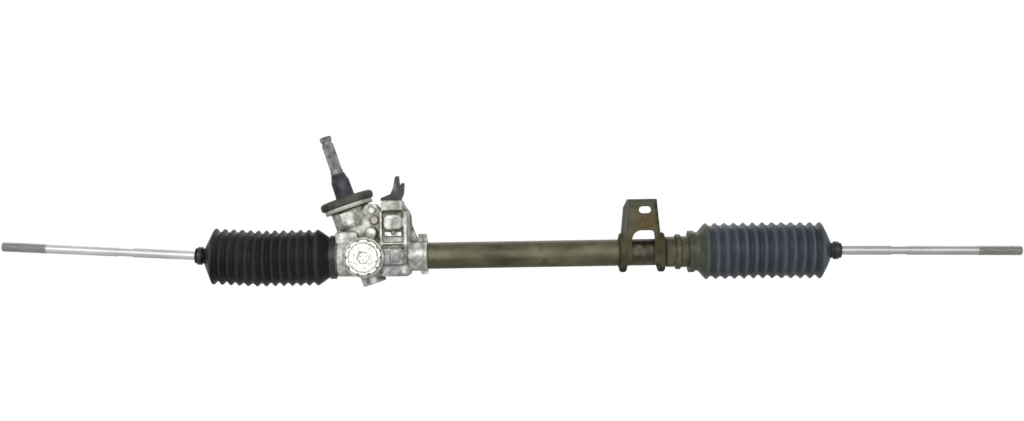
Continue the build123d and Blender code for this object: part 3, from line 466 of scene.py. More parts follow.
def moulded(name, dark, light, roughness, gloss=0.2):
    """Moulded plastic or rubber with a fine grain and a dusty bloom."""
    material, tree, shader = plain_finish(name, light, roughness, 0.0, gloss)
    base = ramp(tree, cloud(tree, 90, 5), [(0.32, dark), (0.7, light)])
    tree.links.new(base, shader.inputs["Base Color"])
    tree.links.new(spread(tree, cloud(tree, 250, 4), roughness - 0.1, roughness + 0.12),
                   shader.inputs["Roughness"])
    bump(tree, shader, cloud(tree, 900, 4), 0.2, 0.0003)
    return material


ground = turned_steel("ground_steel", tone(176, 178, 180), tone(214, 215, 216), 0.25, (0.1, 1.0, 1.0))
dress(ground, "rack_bar", "bearing_outer_ring", "bearing_inner_ring", "bearing_balls", "rack_yoke",
      "yoke_spring", "shaft_circlip", "housing_circlip", "lock_washer_left", "lock_washer_right")
dress(turned_steel("socket_steel", tone(120, 121, 122), tone(160, 161, 162), 0.35),
      "inner_socket_left", "inner_socket_right")
dress(turned_steel("sintered_bronze", tone(150, 112, 60), tone(196, 156, 96), 0.4), "lower_bush")
dress(moulded("bearing_plastic", tone(206, 202, 188), tone(226, 223, 212), 0.4),
      "rack_bush", "yoke_liner", "bearing_cage", "ball_seat_left", "ball_seat_right")
dress(moulded("black_rubber", tone(22, 22, 21), tone(40, 40, 38), 0.6), "yoke_o_ring", "pinion_oil_seal")

# ---- Adjuster ------------------------------------------------------------------------------------
# A screwed plug and its notched lock ring, turned from bright aluminium, in the front of the
# housing.  The small zinc-plated screw beside the tower is dressed here too.

ADJUSTER_X, LOCK_RING_BACK, LOCK_RING_FRONT = -0.037, -0.071, -0.0765
LOCK_RING_RADIUS, PLUG_RADIUS = 0.022, 0.018
RIM_EDGE = ((0.0010, 0.0), (0.0003, 0.0004), (0.0, 0.0011))       # (behind the front, inside the rim)
BORE_EDGE = ((0.0, 0.0012), (0.0004, 0.0004), (0.0012, 0.0))      # (behind the front, outside the bore)
NOTCHES, NOTCH_HALF, NOTCH_DEPTH = 10, math.radians(4.5), 0.0016


def bright_aluminium():
    """Turned aluminium with pits, specks of dirt and painted shade in its grooves."""
    material, tree, shader = plain_finish("bright_aluminium", tone(236, 236, 230), 0.4, 0.1, 0.4)
    base = ramp(tree, cloud(tree, 230, 6), [(0.34, tone(178, 178, 168)), (0.47, tone(222, 222, 214)),
                                            (0.6, tone(246, 246, 240))])
    specks = spread(tree, cloud(tree, 330, 4), 0.8, 0, 0.33, 0.43)
    base = blend_colours(tree, specks, base, tone(120, 120, 110))
    # Darker in the grooves by ambient occlusion: painted shade.
    groove_shade = spread(tree, corners(tree, 0.003), 1, 0, 0.45, 0.9)
    tree.links.new(blend_colours(tree, groove_shade, base, tone(122, 120, 106)), shader.inputs["Base Color"])
    tree.links.new(spread(tree, cloud(tree, 500), 0.3, 0.55), shader.inputs["Roughness"])
    bump(tree, shader, cloud(tree, 420, 3), 0.4, 0.0005)
    return material


def lathe(profile, steps, place):
    """A closed ring from a closed profile of (along, radius), laid by a rule for each angle."""
    bm = bmesh.new()
    angles = [2 * math.pi * i / steps for i in range(steps)]
    skin_rings(bm, [[bm.verts.new(place(along, radius, angle)) for along, radius in profile]
                    for angle in angles])
    bmesh.ops.recalc_face_normals(bm, faces=bm.faces)
    return bm


def on_adjuster(along, radius, angle):
    """A point of the lock ring, with its spanner notches."""
    past_notch = (angle + NOTCH_HALF) % (2 * math.pi / NOTCHES)
    if radius > (PLUG_RADIUS + LOCK_RING_RADIUS) / 2 and past_notch < 2 * NOTCH_HALF:
        radius -= NOTCH_DEPTH
    return Vector((ADJUSTER_X + radius * math.cos(angle), along, RACK_AXIS.z + radius * math.sin(angle)))


profile = [(LOCK_RING_BACK, PLUG_RADIUS), (LOCK_RING_BACK, LOCK_RING_RADIUS)]
profile += [(LOCK_RING_FRONT + behind, LOCK_RING_RADIUS - inside) for behind, inside in RIM_EDGE]
profile += [(LOCK_RING_FRONT + behind, PLUG_RADIUS + outside) for behind, outside in BORE_EDGE]
bright = bright_aluminium()
ring = add_piece("notched_lock_ring", lathe(profile, 240, on_adjuster), bright, 30)
finished(ring, "housing", "adjuster_lock_ring")
dress(bright, "adjuster_plug")
dress(turned_steel("zinc_screw", tone(112, 108, 98), tone(176, 172, 162), 0.4, metallic=0.2, gloss=0.3),
      "breather_screw")

# ---- Input shaft and its seals -------------------------------------------------------------------
# A forged shaft with 36 rolled serrations and a clamp groove, dark with oil.  Above the tower are a
# zinc ring, a thick rubber disc that meets the bulkhead, and a plastic sleeve that turns with the
# shaft.

PINION_SPIN = next(joint for joint in frame["joints"] if joint["name"] == "pinion_spin")
SHAFT_FOOT, SHAFT_WAY = Vector(PINION_SPIN["pos_m"]), Vector(PINION_SPIN["axis"])
SERRATIONS, SERRATION_TIP, SERRATION_DEPTH = 36, 0.00725, 0.0006
SERRATED_FROM, SHAFT_TIP, SHAFT_CHAMFER = 0.116, 0.1587, 0.001
GROOVE_MIDDLE, GROOVE_HALF_WIDTH, GROOVE_DEPTH = 0.151, 0.0014, 0.0011
RING_FOOT, RING_SHADE_AND_GRIME = 0.063, 0.0032
SLEEVE_PROFILE = (          # (along the shaft, radius) in mm: foot rim, body, shoulder, cone, lip, bore
    (79.2, 12.4), (80.6, 12.4), (81.2, 11.8), (99.8, 11.4), (101.2, 11.1), (102.2, 10.5), (108.2, 8.9),
    (109.2, 8.7), (109.5, 8.4), (109.5, 8.05), (101.0, 8.05), (99.0, 10.0), (79.2, 10.0))


def new_tree(name, sizes):
    """An empty geometry tree with a material and the given named sizes as its inputs."""
    tree = bpy.data.node_groups.new(name, "GeometryNodeTree")
    for size in sizes:
        kind = "NodeSocketInt" if size.startswith("Count") else "NodeSocketFloat"
        tree.interface.new_socket(name=size, in_out="INPUT", socket_type=kind)
    tree.interface.new_socket(name="Finish", in_out="INPUT", socket_type="NodeSocketMaterial")
    tree.interface.new_socket(name="Mesh", in_out="OUTPUT", socket_type="NodeSocketGeometry")
    return tree, tree.nodes.new("NodeGroupInput").outputs, tree.nodes.new("NodeGroupOutput")


def rolled_grid(tree, given, rings):
    """A flat grid to be rolled up: its mesh, its share along and its share round."""
    grid = tree.nodes.new("GeometryNodeMeshGrid")
    grid.inputs["Size X"].default_value = 1.0
    grid.inputs["Size Y"].default_value = 1.0
    tree.links.new(rings, grid.inputs["Vertices X"])
    tree.links.new(calc(tree, "ADD", given["Count Around"], 1), grid.inputs["Vertices Y"])
    place = tree.nodes.new("GeometryNodeInputPosition")
    parts = tree.nodes.new("ShaderNodeSeparateXYZ")
    tree.links.new(place.outputs["Position"], parts.inputs[0])
    return grid.outputs["Mesh"], calc(tree, "ADD", parts.outputs["X"], 0.5), parts.outputs["Y"]


def rolled_up(tree, given, result, mesh, along, radius, round_share):
    """Rolls the grid about X, joins its seams and gives it its finish."""
    angle = calc(tree, "MULTIPLY", round_share, 2 * math.pi)
    place = tree.nodes.new("ShaderNodeCombineXYZ")
    tree.links.new(along, place.inputs["X"])
    tree.links.new(calc(tree, "MULTIPLY", radius, calc(tree, "COSINE", angle)), place.inputs["Y"])
    tree.links.new(calc(tree, "MULTIPLY", radius, calc(tree, "SINE", angle)), place.inputs["Z"])
    roll = tree.nodes.new("GeometryNodeSetPosition")
    tree.links.new(mesh, roll.inputs["Geometry"])
    tree.links.new(place.outputs["Vector"], roll.inputs["Position"])
    join = tree.nodes.new("GeometryNodeMergeByDistance")
    join.inputs["Distance"].default_value = 1e-6
    tree.links.new(roll.outputs["Geometry"], join.inputs["Geometry"])
    realize = tree.nodes.new("GeometryNodeRealizeInstances")
    tree.links.new(join.outputs["Geometry"], realize.inputs["Geometry"])
    paint = tree.nodes.new("GeometryNodeSetMaterial")
    tree.links.new(realize.outputs["Geometry"], paint.inputs["Geometry"])
    tree.links.new(given["Finish"], paint.inputs["Material"])
    tree.links.new(paint.outputs["Geometry"], result.inputs["Mesh"])


def grown(tree, sizes, material):
    """The mesh that a geometry tree makes from its sizes."""
    holder = bpy.data.objects.new("holder", bpy.data.meshes.new("holder"))
    bpy.context.scene.collection.objects.link(holder)
    maker = holder.modifiers.new("maker", "NODES")
    maker.node_group = tree
    for item in tree.interface.items_tree:
        if item.in_out == "INPUT":
            maker[item.identifier] = material if item.name == "Finish" else sizes[item.name]
    graph = bpy.context.evaluated_depsgraph_get()
    mesh = bpy.data.meshes.new_from_object(holder.evaluated_get(graph))
    bpy.data.objects.remove(holder)
    return mesh


ridged_bar, given, result = new_tree("ridged_bar", (
    "Start", "End", "Count Rings", "Count Around", "Tip Radius", "Ridge Depth", "Ridges Round",
    "Turns", "Chamfer", "Groove Middle", "Groove Half Width", "Groove Depth"))
bar_sum = partial(calc, ridged_bar)
start, end, tip = given["Start"], given["End"], given["Tip Radius"]
sheet, share, round_share = rolled_grid(ridged_bar, given, given["Count Rings"])
along = bar_sum("MULTIPLY_ADD", share, bar_sum("SUBTRACT", end, start), start)
phase = bar_sum("ADD", bar_sum("MULTIPLY", round_share, given["Ridges Round"]),
                bar_sum("MULTIPLY", along, given["Turns"]))
flank = bar_sum("MULTIPLY", bar_sum("PINGPONG", phase, 0.5), 2.0)
ridged = bar_sum("SUBTRACT", tip, bar_sum("MULTIPLY", flank, given["Ridge Depth"]))
from_end = bar_sum("MINIMUM", bar_sum("SUBTRACT", along, start), bar_sum("SUBTRACT", end, along))
chamfered = bar_sum("ADD", bar_sum("SUBTRACT", tip, given["Chamfer"]), from_end)
off_groove = bar_sum("ABSOLUTE", bar_sum("SUBTRACT", along, given["Groove Middle"]))
beyond = bar_sum("MAXIMUM", bar_sum("SUBTRACT", off_groove, given["Groove Half Width"]), 0.0)
grooved = bar_sum("ADD", bar_sum("SUBTRACT", tip, given["Groove Depth"]), beyond)
radius = bar_sum("MINIMUM", ridged, bar_sum("MINIMUM", chamfered, grooved))
rolled_up(ridged_bar, given, result, sheet, along, radius, round_share)


def with_ridges(node, name, foot, way, sizes, material):
    """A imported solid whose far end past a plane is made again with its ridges."""
    bm = merged_copy(node)
    everything = bm.verts[:] + bm.edges[:] + bm.faces[:]
    cut = bmesh.ops.bisect_plane(bm, geom=everything, dist=1e-7, plane_co=foot + way * sizes["Start"],
                                 plane_no=way, clear_outer=True)
    rim = [edge for edge in cut["geom_cut"] if isinstance(edge, bmesh.types.BMEdge)]
    bmesh.ops.holes_fill(bm, edges=rim, sides=0)
    bar = bmesh.new()
    bar.from_mesh(grown(ridged_bar, sizes, material))
    bmesh.ops.holes_fill(bar, edges=[edge for edge in bar.edges if edge.is_boundary], sides=0)
    turn = way.to_track_quat("X", "Z").to_matrix().to_4x4()
    bmesh.ops.transform(bar, matrix=Matrix.Translation(foot) @ turn, verts=bar.verts)
    bmesh.ops.recalc_face_normals(bar, faces=bar.faces)
    far_end = bpy.data.meshes.new("far_end")
    bar.to_mesh(far_end)
    bar.free()
    bm.from_mesh(far_end)
    bpy.data.meshes.remove(far_end)
    for face in bm.faces:       # the ridges come with a material slot of their own
        face.material_index = 0
    return add_piece(name, bm, material, 32)


def lay_over(material, share, colour):
    """Lays a colour over the one that a finish already has, by a share."""
    tree = material.node_tree
    base = tree.nodes["Principled BSDF"].inputs["Base Color"]
    tree.links.new(blend_colours(tree, share, base.links[0].from_socket, colour), base)


def on_shaft(along, radius, angle):
    """A point round the input shaft."""
    side = SHAFT_WAY.orthogonal().normalized()
    outward = math.cos(angle) * side + math.sin(angle) * SHAFT_WAY.cross(side)
    return SHAFT_FOOT + SHAFT_WAY * along + radius * outward


serrated = {
    "Start": SERRATED_FROM, "End": SHAFT_TIP, "Count Rings": 86, "Count Around": 6 * SERRATIONS,
    "Tip Radius": SERRATION_TIP, "Ridge Depth": SERRATION_DEPTH, "Ridges Round": SERRATIONS,
    "Turns": 0.0, "Chamfer": SHAFT_CHAMFER, "Groove Middle": GROOVE_MIDDLE,
    "Groove Half Width": GROOVE_HALF_WIDTH, "Groove Depth": GROOVE_DEPTH}
oiled_steel = turned_steel("oiled_steel", tone(74, 73, 72), tone(146, 145, 143), 0.5,
                           metallic=0.1, gloss=0.2)
shaft = with_ridges("pinion_shaft", "input_shaft", SHAFT_FOOT, SHAFT_WAY, serrated, oiled_steel)
finished(shaft, "pinion", "pinion_shaft")

zinc = turned_steel("zinc_ring", tone(146, 146, 140), tone(188, 188, 180), 0.45, metallic=0.1, gloss=0.3)
# Darker towards the ring's foot on the tower: painted shade and grime.
up_shaft = measured(zinc.node_tree, "DOT_PRODUCT", SHAFT_WAY)
ring_foot = SHAFT_FOOT.dot(SHAFT_WAY) + RING_FOOT
shade_and_grime = spread(zinc.node_tree, up_shaft, 0.75, 0, ring_foot, ring_foot + RING_SHADE_AND_GRIME)
lay_over(zinc, shade_and_grime, tone(96, 95, 80))
dress(zinc, "tower_ring")
dress(moulded("disc_rubber", tone(52, 53, 47), tone(84, 85, 78), 0.7), "dust_disc")

sleeve_form = lathe([(along / 1000, radius / 1000) for along, radius in SLEEVE_PROFILE], 96, on_shaft)
sleeve_plastic = moulded("sleeve_plastic", tone(38, 36, 42), tone(82, 79, 87), 0.5, gloss=0.12)
sleeve = add_piece("shaft_sleeve", sleeve_form, sleeve_plastic, 30)
finished(sleeve, "pinion", "dust_sleeve")

# ---- Pipe clip -----------------------------------------------------------------------------------
# Moulded black plastic: a foot on top of the housing's block, and two prongs for a pipe.  It is
# lighter grey halfway up its left side.

GREY_PATCH_PLACE, GREY_PATCH_REACH = (-0.002, -0.045, 0.066), 0.007

clip = moulded("clip_plastic", tone(34, 34, 33), tone(68, 67, 68), 0.5)
lay_over(clip, patch(clip.node_tree, GREY_PATCH_PLACE, GREY_PATCH_REACH), tone(104, 104, 101))
dress(clip, "pipe_clip")

# ---- Tie rods ------------------------------------------------------------------------------------
# Drawn steel rods, satin bright, with wrench flats and an M12 by 1.5 thread rolled on the outer end.

RODS = {
    "left": dict(ball=Vector((-0.1719, -0.040, -0.0205)), outward=-1.0, lift=math.radians(3.55),
                 shank=tone(190, 190, 189), thread=tone(148, 148, 144)),
    "right": dict(ball=Vector((0.4629, -0.040, -0.0205)), outward=1.0, lift=math.radians(-1.0),
                  shank=tone(156, 156, 155), thread=tone(142, 141, 138))}
ROD_LENGTH, THREAD_LENGTH = 0.3196, 0.055
THREAD_START, THREAD_EDGE = ROD_LENGTH - THREAD_LENGTH, 0.003
THREAD_RADIUS, THREAD_PITCH, THREAD_DEPTH, ROD_CHAMFER = 0.006, 0.0015, 0.0009, 0.0013


def rod_steel(name, shank, thread, ball):
    """Drawn steel, duller and darker where its thread is rolled."""
    material, tree, shader = plain_finish(name, shank, 0.36, 0.3)
    rolled = spread(tree, measured(tree, "DISTANCE", ball), 0, 1,
                    THREAD_START - THREAD_EDGE, THREAD_START + THREAD_EDGE)
    cloudy = ramp(tree, cloud(tree, 45, 5, (4.0, 1.0, 1.0)), [(0.3, (0.68, 0.68, 0.67, 1)),
                                                              (0.68, (1.1, 1.1, 1.1, 1))])
    base = blend_colours(tree, rolled, shank, thread)
    tree.links.new(blend_colours(tree, 1.0, base, cloudy, "MULTIPLY"), shader.inputs["Base Color"])
    drawn = cloud(tree, 1400, 3, (10.0, 1.0, 1.0))
    tree.links.new(spread(tree, drawn, 0.28, 0.46), shader.inputs["Roughness"])
    bump(tree, shader, drawn, 0.1, 0.0002)
    return material


threaded = {
    "Start": THREAD_START, "End": ROD_LENGTH, "Count Rings": 260, "Count Around": 40,
    "Tip Radius": THREAD_RADIUS, "Ridge Depth": THREAD_DEPTH, "Ridges Round": 1.0,
    "Turns": 1 / THREAD_PITCH, "Chamfer": ROD_CHAMFER,
    "Groove Middle": -1.0, "Groove Half Width": 0.0, "Groove Depth": 0.0}
for side, rod in RODS.items():
    way = Vector((rod["outward"] * math.cos(rod["lift"]), 0.0, math.sin(rod["lift"])))
    steel = rod_steel(f"rod_steel_{side}", rod["shank"], rod["thread"], rod["ball"])
    piece = with_ridges(f"tie_rod_{side}", f"threaded_rod_{side}", rod["ball"], way, threaded, steel)
    finished(piece, f"{side}_rod", f"tie_rod_{side}")

# ---- Bellows boots -------------------------------------------------------------------------------
# Moulded rubber bellows with 13 narrow pleats, from the housing and the tube's collar out to the tie
# rods, held by clamp bands.  The last pleats bend to follow the rod's rest angle.

BALL_REACH = 0.0929         # from a boot's foot to the rod's ball
CREST_RADIUS, VALLEY_RADIUS, RUBBER = 0.035, 0.0308, 0.0019
NECK_RADIUS, NECK_BORE = 0.0095, 0.0058
CREST_SOFTNESS, UNEVENNESS, UNEVEN_RHYTHM = 0.16, 0.22, 7.3
CONE_MARGIN, CONE_SOFTNESS, BORE_FADE, CUFF_DUST_FADE = 0.0008, 0.0012, 0.003, 0.014
PLEATS, ROUND, RING_LENGTH = 13, 96, 0.00068
BEND_START, BEND_LENGTH, FOLD_START = 0.07, 0.045, 0.005
BOOTS = {                   # valleys are those where the pleats for travel and for the rod's lift end
    "left": dict(foot=-0.079, lap=0.005, cuff=0.0037, cuff_radius=0.0255, first=0.0181, pitch=0.01068,
                 neck=0.1593, end=0.1706, shape=0.95, valleys=(9, 11)),
    "right": dict(foot=0.370, lap=0.0046, cuff=0.007, cuff_radius=0.0242, first=0.0173, pitch=0.01182,
                  neck=0.1725, end=0.186, shape=0.8, valleys=(8, 10))}

bellows, given, result = new_tree("bellows", (
    "Start", "End", "Count Rings", "Count Around", "Cuff", "Cuff Radius", "First Crest", "Pitch",
    "Pleats", "Crest Radius", "Crest Softness", "Valley Radius", "Unevenness", "Neck", "Neck Radius",
    "Neck Shape", "Wall", "Bore"))
boot_sum = partial(calc, bellows)
count, first, pitch, crest = (given[key] for key in ("Count Rings", "First Crest", "Pitch", "Crest Radius"))
softness, cuff, neck, thin = (given[key] for key in ("Crest Softness", "Cuff", "Neck", "Neck Radius"))

# The grid goes out along the outside of the wall, and comes back along its inside.
both_ways = boot_sum("MULTIPLY", count, 2)
rings = boot_sum("ADD", both_ways, 1)
sheet, share, round_share = rolled_grid(bellows, given, rings)
step = boot_sum("ROUND", boot_sum("MULTIPLY", share, boot_sum("SUBTRACT", rings, 1)))
step = boot_sum("MODULO", step, both_ways)
outside = boot_sum("LESS_THAN", step, count)
back_step = boot_sum("SUBTRACT", boot_sum("SUBTRACT", both_ways, 1), step)
out_share = boot_sum("MULTIPLY", step, outside)
back_share = boot_sum("MULTIPLY", back_step, boot_sum("SUBTRACT", 1, outside))
ring_share = boot_sum("DIVIDE", boot_sum("ADD", out_share, back_share), boot_sum("SUBTRACT", count, 1))
along = boot_sum("MULTIPLY_ADD", ring_share, boot_sum("SUBTRACT", given["End"], given["Start"]),
                 given["Start"])

# Between the first and the last crest, the wall sinks to a valley in every pleat.
last_crest = boot_sum("MULTIPLY_ADD", boot_sum("SUBTRACT", given["Pleats"], 1), pitch, first)
held = boot_sum("MINIMUM", boot_sum("MAXIMUM", along, first), last_crest)
pleat = boot_sum("DIVIDE", boot_sum("SUBTRACT", held, first), pitch)
wave = boot_sum("POWER", boot_sum("SINE", boot_sum("MULTIPLY", pleat, math.pi)), 2.0)
soft = boot_sum("POWER", softness, 2.0)
fold = boot_sum("SUBTRACT", boot_sum("SQRT", boot_sum("ADD", wave, soft)), softness)
full_fold = boot_sum("SUBTRACT", boot_sum("SQRT", boot_sum("ADD", soft, 1.0)), softness)
fold = boot_sum("DIVIDE", fold, full_fold)
uneven = boot_sum("SINE", boot_sum("MULTIPLY", boot_sum("FLOOR", pleat), UNEVEN_RHYTHM))
uneven = boot_sum("MULTIPLY_ADD", boot_sum("ADD", uneven, 1.0),
                  boot_sum("MULTIPLY", given["Unevenness"], -0.5), 1.0)
sink = boot_sum("MULTIPLY", fold, boot_sum("SUBTRACT", crest, given["Valley Radius"]))
pleated = boot_sum("SUBTRACT", crest, boot_sum("MULTIPLY", sink, uneven))

# A cone leads from the cuff to the first crest, and another from the last crest to the neck.
past_cuff = boot_sum("MAXIMUM", boot_sum("SUBTRACT", along, cuff), 0.0)
cuff_reach = boot_sum("SUBTRACT", boot_sum("SUBTRACT", first, cuff), CONE_MARGIN)
cuff_slope = boot_sum("DIVIDE", boot_sum("SUBTRACT", crest, given["Cuff Radius"]), cuff_reach)
cuff_cone = boot_sum("MULTIPLY_ADD", past_cuff, cuff_slope, given["Cuff Radius"])
to_neck = boot_sum("MAXIMUM", boot_sum("SUBTRACT", neck, along), 0.0)
neck_reach = boot_sum("SUBTRACT", boot_sum("SUBTRACT", neck, last_crest), CONE_MARGIN)
neck_rise = boot_sum("POWER", boot_sum("DIVIDE", to_neck, neck_reach), given["Neck Shape"])
neck_cone = boot_sum("MULTIPLY_ADD", neck_rise, boot_sum("SUBTRACT", crest, thin), thin)
outer = boot_sum("SMOOTH_MIN", pleated, boot_sum("MINIMUM", cuff_cone, neck_cone), CONE_SOFTNESS)
near_neck = boot_sum("SUBTRACT", 1.0, boot_sum("MINIMUM", boot_sum("DIVIDE", to_neck, BORE_FADE), 1.0))
inner = boot_sum("SUBTRACT", outer, given["Wall"])
inner = boot_sum("MULTIPLY_ADD", near_neck, boot_sum("SUBTRACT", given["Bore"], inner), inner)
radius = boot_sum("MULTIPLY_ADD", outside, boot_sum("SUBTRACT", outer, inner), inner)
rolled_up(bellows, given, result, sheet, along, radius, round_share)


def boot_rubber(name, valley, crest, worn_and_lit, gloss, dusty_to=None):
    """Black or slate rubber with painted shade in its valleys, painted highlights and wear along its
    crests, and road dust up to a place along X.
    """
    material, tree, shader = plain_finish(name, crest, 0.44, 0.0, gloss)
    over, back, up = place_on(tree)
    across = calc(tree, "POWER", calc(tree, "SUBTRACT", back, RACK_AXIS.y), 2.0)
    above = calc(tree, "POWER", calc(tree, "SUBTRACT", up, RACK_AXIS.z), 2.0)
    from_axis = calc(tree, "SQRT", calc(tree, "ADD", across, above))
    # Valleys darker than crests, by depth and ambient occlusion: painted shade.
    unshaded = spread(tree, corners(tree, 0.006), 0, 1, 0.3, 0.9)
    height = spread(tree, from_axis, 0.3, 1, VALLEY_RADIUS + 0.0006, CREST_RADIUS - 0.0008)
    base = blend_colours(tree, calc(tree, "MULTIPLY", unshaded, height), valley, crest)
    cloudy = ramp(tree, cloud(tree, 60, 5), [(0.3, (0.78, 0.78, 0.78, 1)), (0.7, (1.12, 1.12, 1.12, 1))])
    base = blend_colours(tree, 1.0, base, cloudy, "MULTIPLY")
    # Paler along the crests: painted highlight and wear.
    wear_and_highlight = spread(tree, from_axis, 0, 1, CREST_RADIUS - 0.0011, CREST_RADIUS - 0.0002)
    wear_and_highlight = calc(tree, "MULTIPLY", wear_and_highlight, spread(tree, cloud(tree, 55, 4), 0, 0.6, 0.45, 0.68))
    base = blend_colours(tree, wear_and_highlight, base, worn_and_lit)
    if dusty_to:
        near = spread(tree, over, 1, 0, dusty_to, dusty_to + CUFF_DUST_FADE)
        dusty = calc(tree, "MULTIPLY", near, spread(tree, cloud(tree, 130, 5), 0.6, 1, 0.3, 0.6))
        base = blend_colours(tree, dusty, base, tone(76, 76, 62))
    tree.links.new(base, shader.inputs["Base Color"])
    tree.links.new(spread(tree, cloud(tree, 250, 4), 0.34, 0.54), shader.inputs["Roughness"])
    bump(tree, shader, cloud(tree, 700, 4), 0.15, 0.0003)
    return material


def beside_ball(rod, angle, past_ball, across=0.0, up=0.0):
    """A place given from a rod's ball: past it, across and up, swung up about the ball by an angle."""
    out = past_ball * math.cos(angle) - up * math.sin(angle)
    return rod["ball"] + Vector((rod["outward"] * out, rod["outward"] * across,
                                 past_ball * math.sin(angle) + up * math.cos(angle)))


def boot_part(name, side, start, end, material):
    """One stretch of a boot, bent to its tie rod's rest angle."""
    boot, rod = BOOTS[side], RODS[side]
    sizes = {
        "Start": start, "End": end, "Count Rings": max(8, round((end - start) / RING_LENGTH)),
        "Count Around": ROUND, "Cuff": boot["cuff"], "Cuff Radius": boot["cuff_radius"],
        "First Crest": boot["first"], "Pitch": boot["pitch"], "Pleats": float(PLEATS),
        "Crest Radius": CREST_RADIUS, "Crest Softness": CREST_SOFTNESS, "Valley Radius": VALLEY_RADIUS,
        "Unevenness": UNEVENNESS, "Neck": boot["neck"], "Neck Radius": NECK_RADIUS,
        "Neck Shape": boot["shape"], "Wall": RUBBER, "Bore": NECK_BORE}
    bm = bmesh.new()
    bm.from_mesh(grown(bellows, sizes, material))
    bmesh.ops.recalc_face_normals(bm, faces=bm.faces)
    for vertex in bm.verts:
        reach, across, up = vertex.co
        bend = min(max((reach - BEND_START) / BEND_LENGTH, 0.0), 1.0)
        angle = rod["lift"] * bend * bend * (3 - 2 * bend)
        vertex.co = beside_ball(rod, angle, reach - BALL_REACH, across, up)
    piece = add_piece(name, bm, material, 50)
    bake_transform(piece)
    return piece


rubber = {"left": boot_rubber("left_rubber", tone(8, 9, 8), tone(46, 48, 46), tone(52, 54, 52), 0.06),
          "right": boot_rubber("right_rubber", tone(28, 31, 37), tone(74, 79, 87), tone(90, 95, 101),
                               0.09, dusty_to=0.380)}
for side, boot in BOOTS.items():
    rod, skin = RODS[side], rubber[side]
    travel_end, lift_end = (boot["first"] + (i + 0.5) * boot["pitch"] for i in boot["valleys"])
    folding = boot_part(f"boot_{side}_pleats", side, -boot["lap"], travel_end,
                        skin)
    lifting = boot_part(f"boot_{side}_lift", side, travel_end, lift_end,
                        skin)
    gripping = boot_part(f"boot_{side}_neck", side, lift_end, boot["end"],
                         skin)
    for piece in (folding, lifting, gripping):
        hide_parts(f"boot_{side}")

dress(turned_steel("band_steel", tone(24, 24, 23), tone(46, 46, 44), 0.45, metallic=0.0, gloss=0.25),
      "boot_band_left", "neck_band_left", "neck_band_right")
dress(olive_steel("olive_band", tone(42, 42, 33), tone(74, 74, 61), tone(58, 54, 40)), "boot_band_right")

# ---- Floor, light and camera ---------------------------------------------------------------------
# A white floor and soft studio light, seen level from the adjuster's side with the right end a
# little high.

FLOOR, FLOOR_HALF = -0.30, 20
DISTANCE, VIEW_WIDTH, SENSOR = 1.7, 1.28, 36.0
AIM_X, AIM_Z, ROLL = 0.1463, 0.0343, math.radians(0.9384)
LAMP_TARGET, LAMP_SIZE = Vector((0.14, 0, 0)), (2.2, 0.9)
PAPER_GLOW, PAPER_SHARE, SKY_LIGHT = 1.15, 0.85, 0.18


def seen_white(tree):
    """1 for what the camera, a reflection or a transmission sees, and 0 for the object's light."""
    path = tree.nodes.new("ShaderNodeLightPath")
    seen = path.outputs["Is Camera Ray"]
    for key in ("Is Glossy Ray", "Is Transmission Ray"):
        seen = calc(tree, "MAXIMUM", seen, path.outputs[key])
    return seen


def two_looks(tree, share, for_light, for_eye, output):
    """Lights the object by one shader, and shows the eye another."""
    mixer = tree.nodes.new("ShaderNodeMixShader")
    tree.links.new(share, mixer.inputs["Fac"])
    tree.links.new(for_light, mixer.inputs[1])
    tree.links.new(for_eye, mixer.inputs[2])
    tree.links.new(mixer.outputs["Shader"], tree.nodes[output].inputs["Surface"])


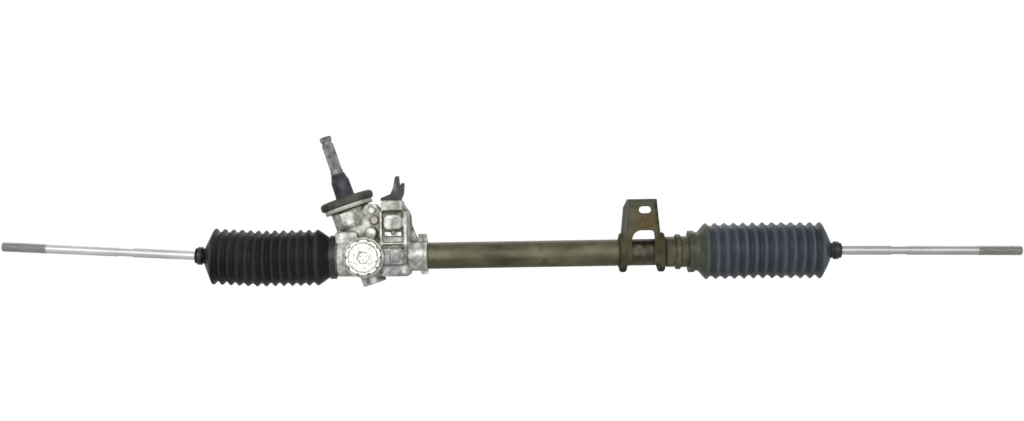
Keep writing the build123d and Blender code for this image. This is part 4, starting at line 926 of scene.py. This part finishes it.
def lamp(name, place, power):
    """A soft broad lamp, turned to the object."""
    light = bpy.data.lights.new(name, "AREA")
    light.shape = "RECTANGLE"
    light.size, light.size_y = LAMP_SIZE
    light.energy = power
    holder = bpy.data.objects.new(name, light)
    holder.location = place
    holder.rotation_mode = "QUATERNION"
    holder.rotation_quaternion = (LAMP_TARGET - Vector(place)).to_track_quat("-Z", "Y")
    bpy.context.scene.collection.objects.link(holder)


floor_corners = [(x * FLOOR_HALF, y * FLOOR_HALF, FLOOR) for x, y in ((-1, -1), (1, -1), (1, 1), (-1, 1))]
floor_mesh = bpy.data.meshes.new("floor")
floor_mesh.from_pydata(floor_corners, [], [(0, 1, 2, 3)])
floor = bpy.data.objects.new("floor", floor_mesh)
bpy.context.scene.collection.objects.link(floor)

paper, paper_tree, paper_shader = plain_finish("paper", tone(176, 176, 176), 0.9)
glow = paper_tree.nodes.new("ShaderNodeEmission")
glow.inputs["Strength"].default_value = PAPER_GLOW
two_looks(paper_tree, calc(paper_tree, "MULTIPLY", seen_white(paper_tree), PAPER_SHARE),
          paper_shader.outputs["BSDF"], glow.outputs["Emission"], "Material Output")
floor_mesh.materials.append(paper)

world = bpy.data.worlds.new("studio")
bpy.context.scene.world = world
world.use_nodes = True
sky = world.node_tree
dim = sky.nodes["Background"]
dim.inputs["Color"].default_value = (1, 1, 1, 1)
dim.inputs["Strength"].default_value = SKY_LIGHT
white = sky.nodes.new("ShaderNodeBackground")
white.inputs["Color"].default_value = (1, 1, 1, 1)
white.inputs["Strength"].default_value = 1.0
two_looks(sky, seen_white(sky), dim.outputs["Background"], white.outputs["Background"], "World Output")

lamp("key", (0.1, -1.9, 0.5), 43)
lamp("back", (0.2, 1.5, 1.35), 20)

camera = bpy.data.cameras.new("camera")
camera.sensor_width = SENSOR
camera.lens = SENSOR * DISTANCE / VIEW_WIDTH
eye = bpy.data.objects.new("camera", camera)
turn = Matrix(((math.cos(ROLL), math.sin(ROLL), 0), (0, 0, -1), (-math.sin(ROLL), math.cos(ROLL), 0)))
eye.matrix_world = Matrix.Translation((AIM_X, RACK_AXIS.y - DISTANCE, AIM_Z)) @ turn.to_4x4()
bpy.context.scene.collection.objects.link(eye)
bpy.context.scene.camera = eye
bpy.context.scene.view_settings.view_transform = "Standard"

bpy.context.view_layer.update()
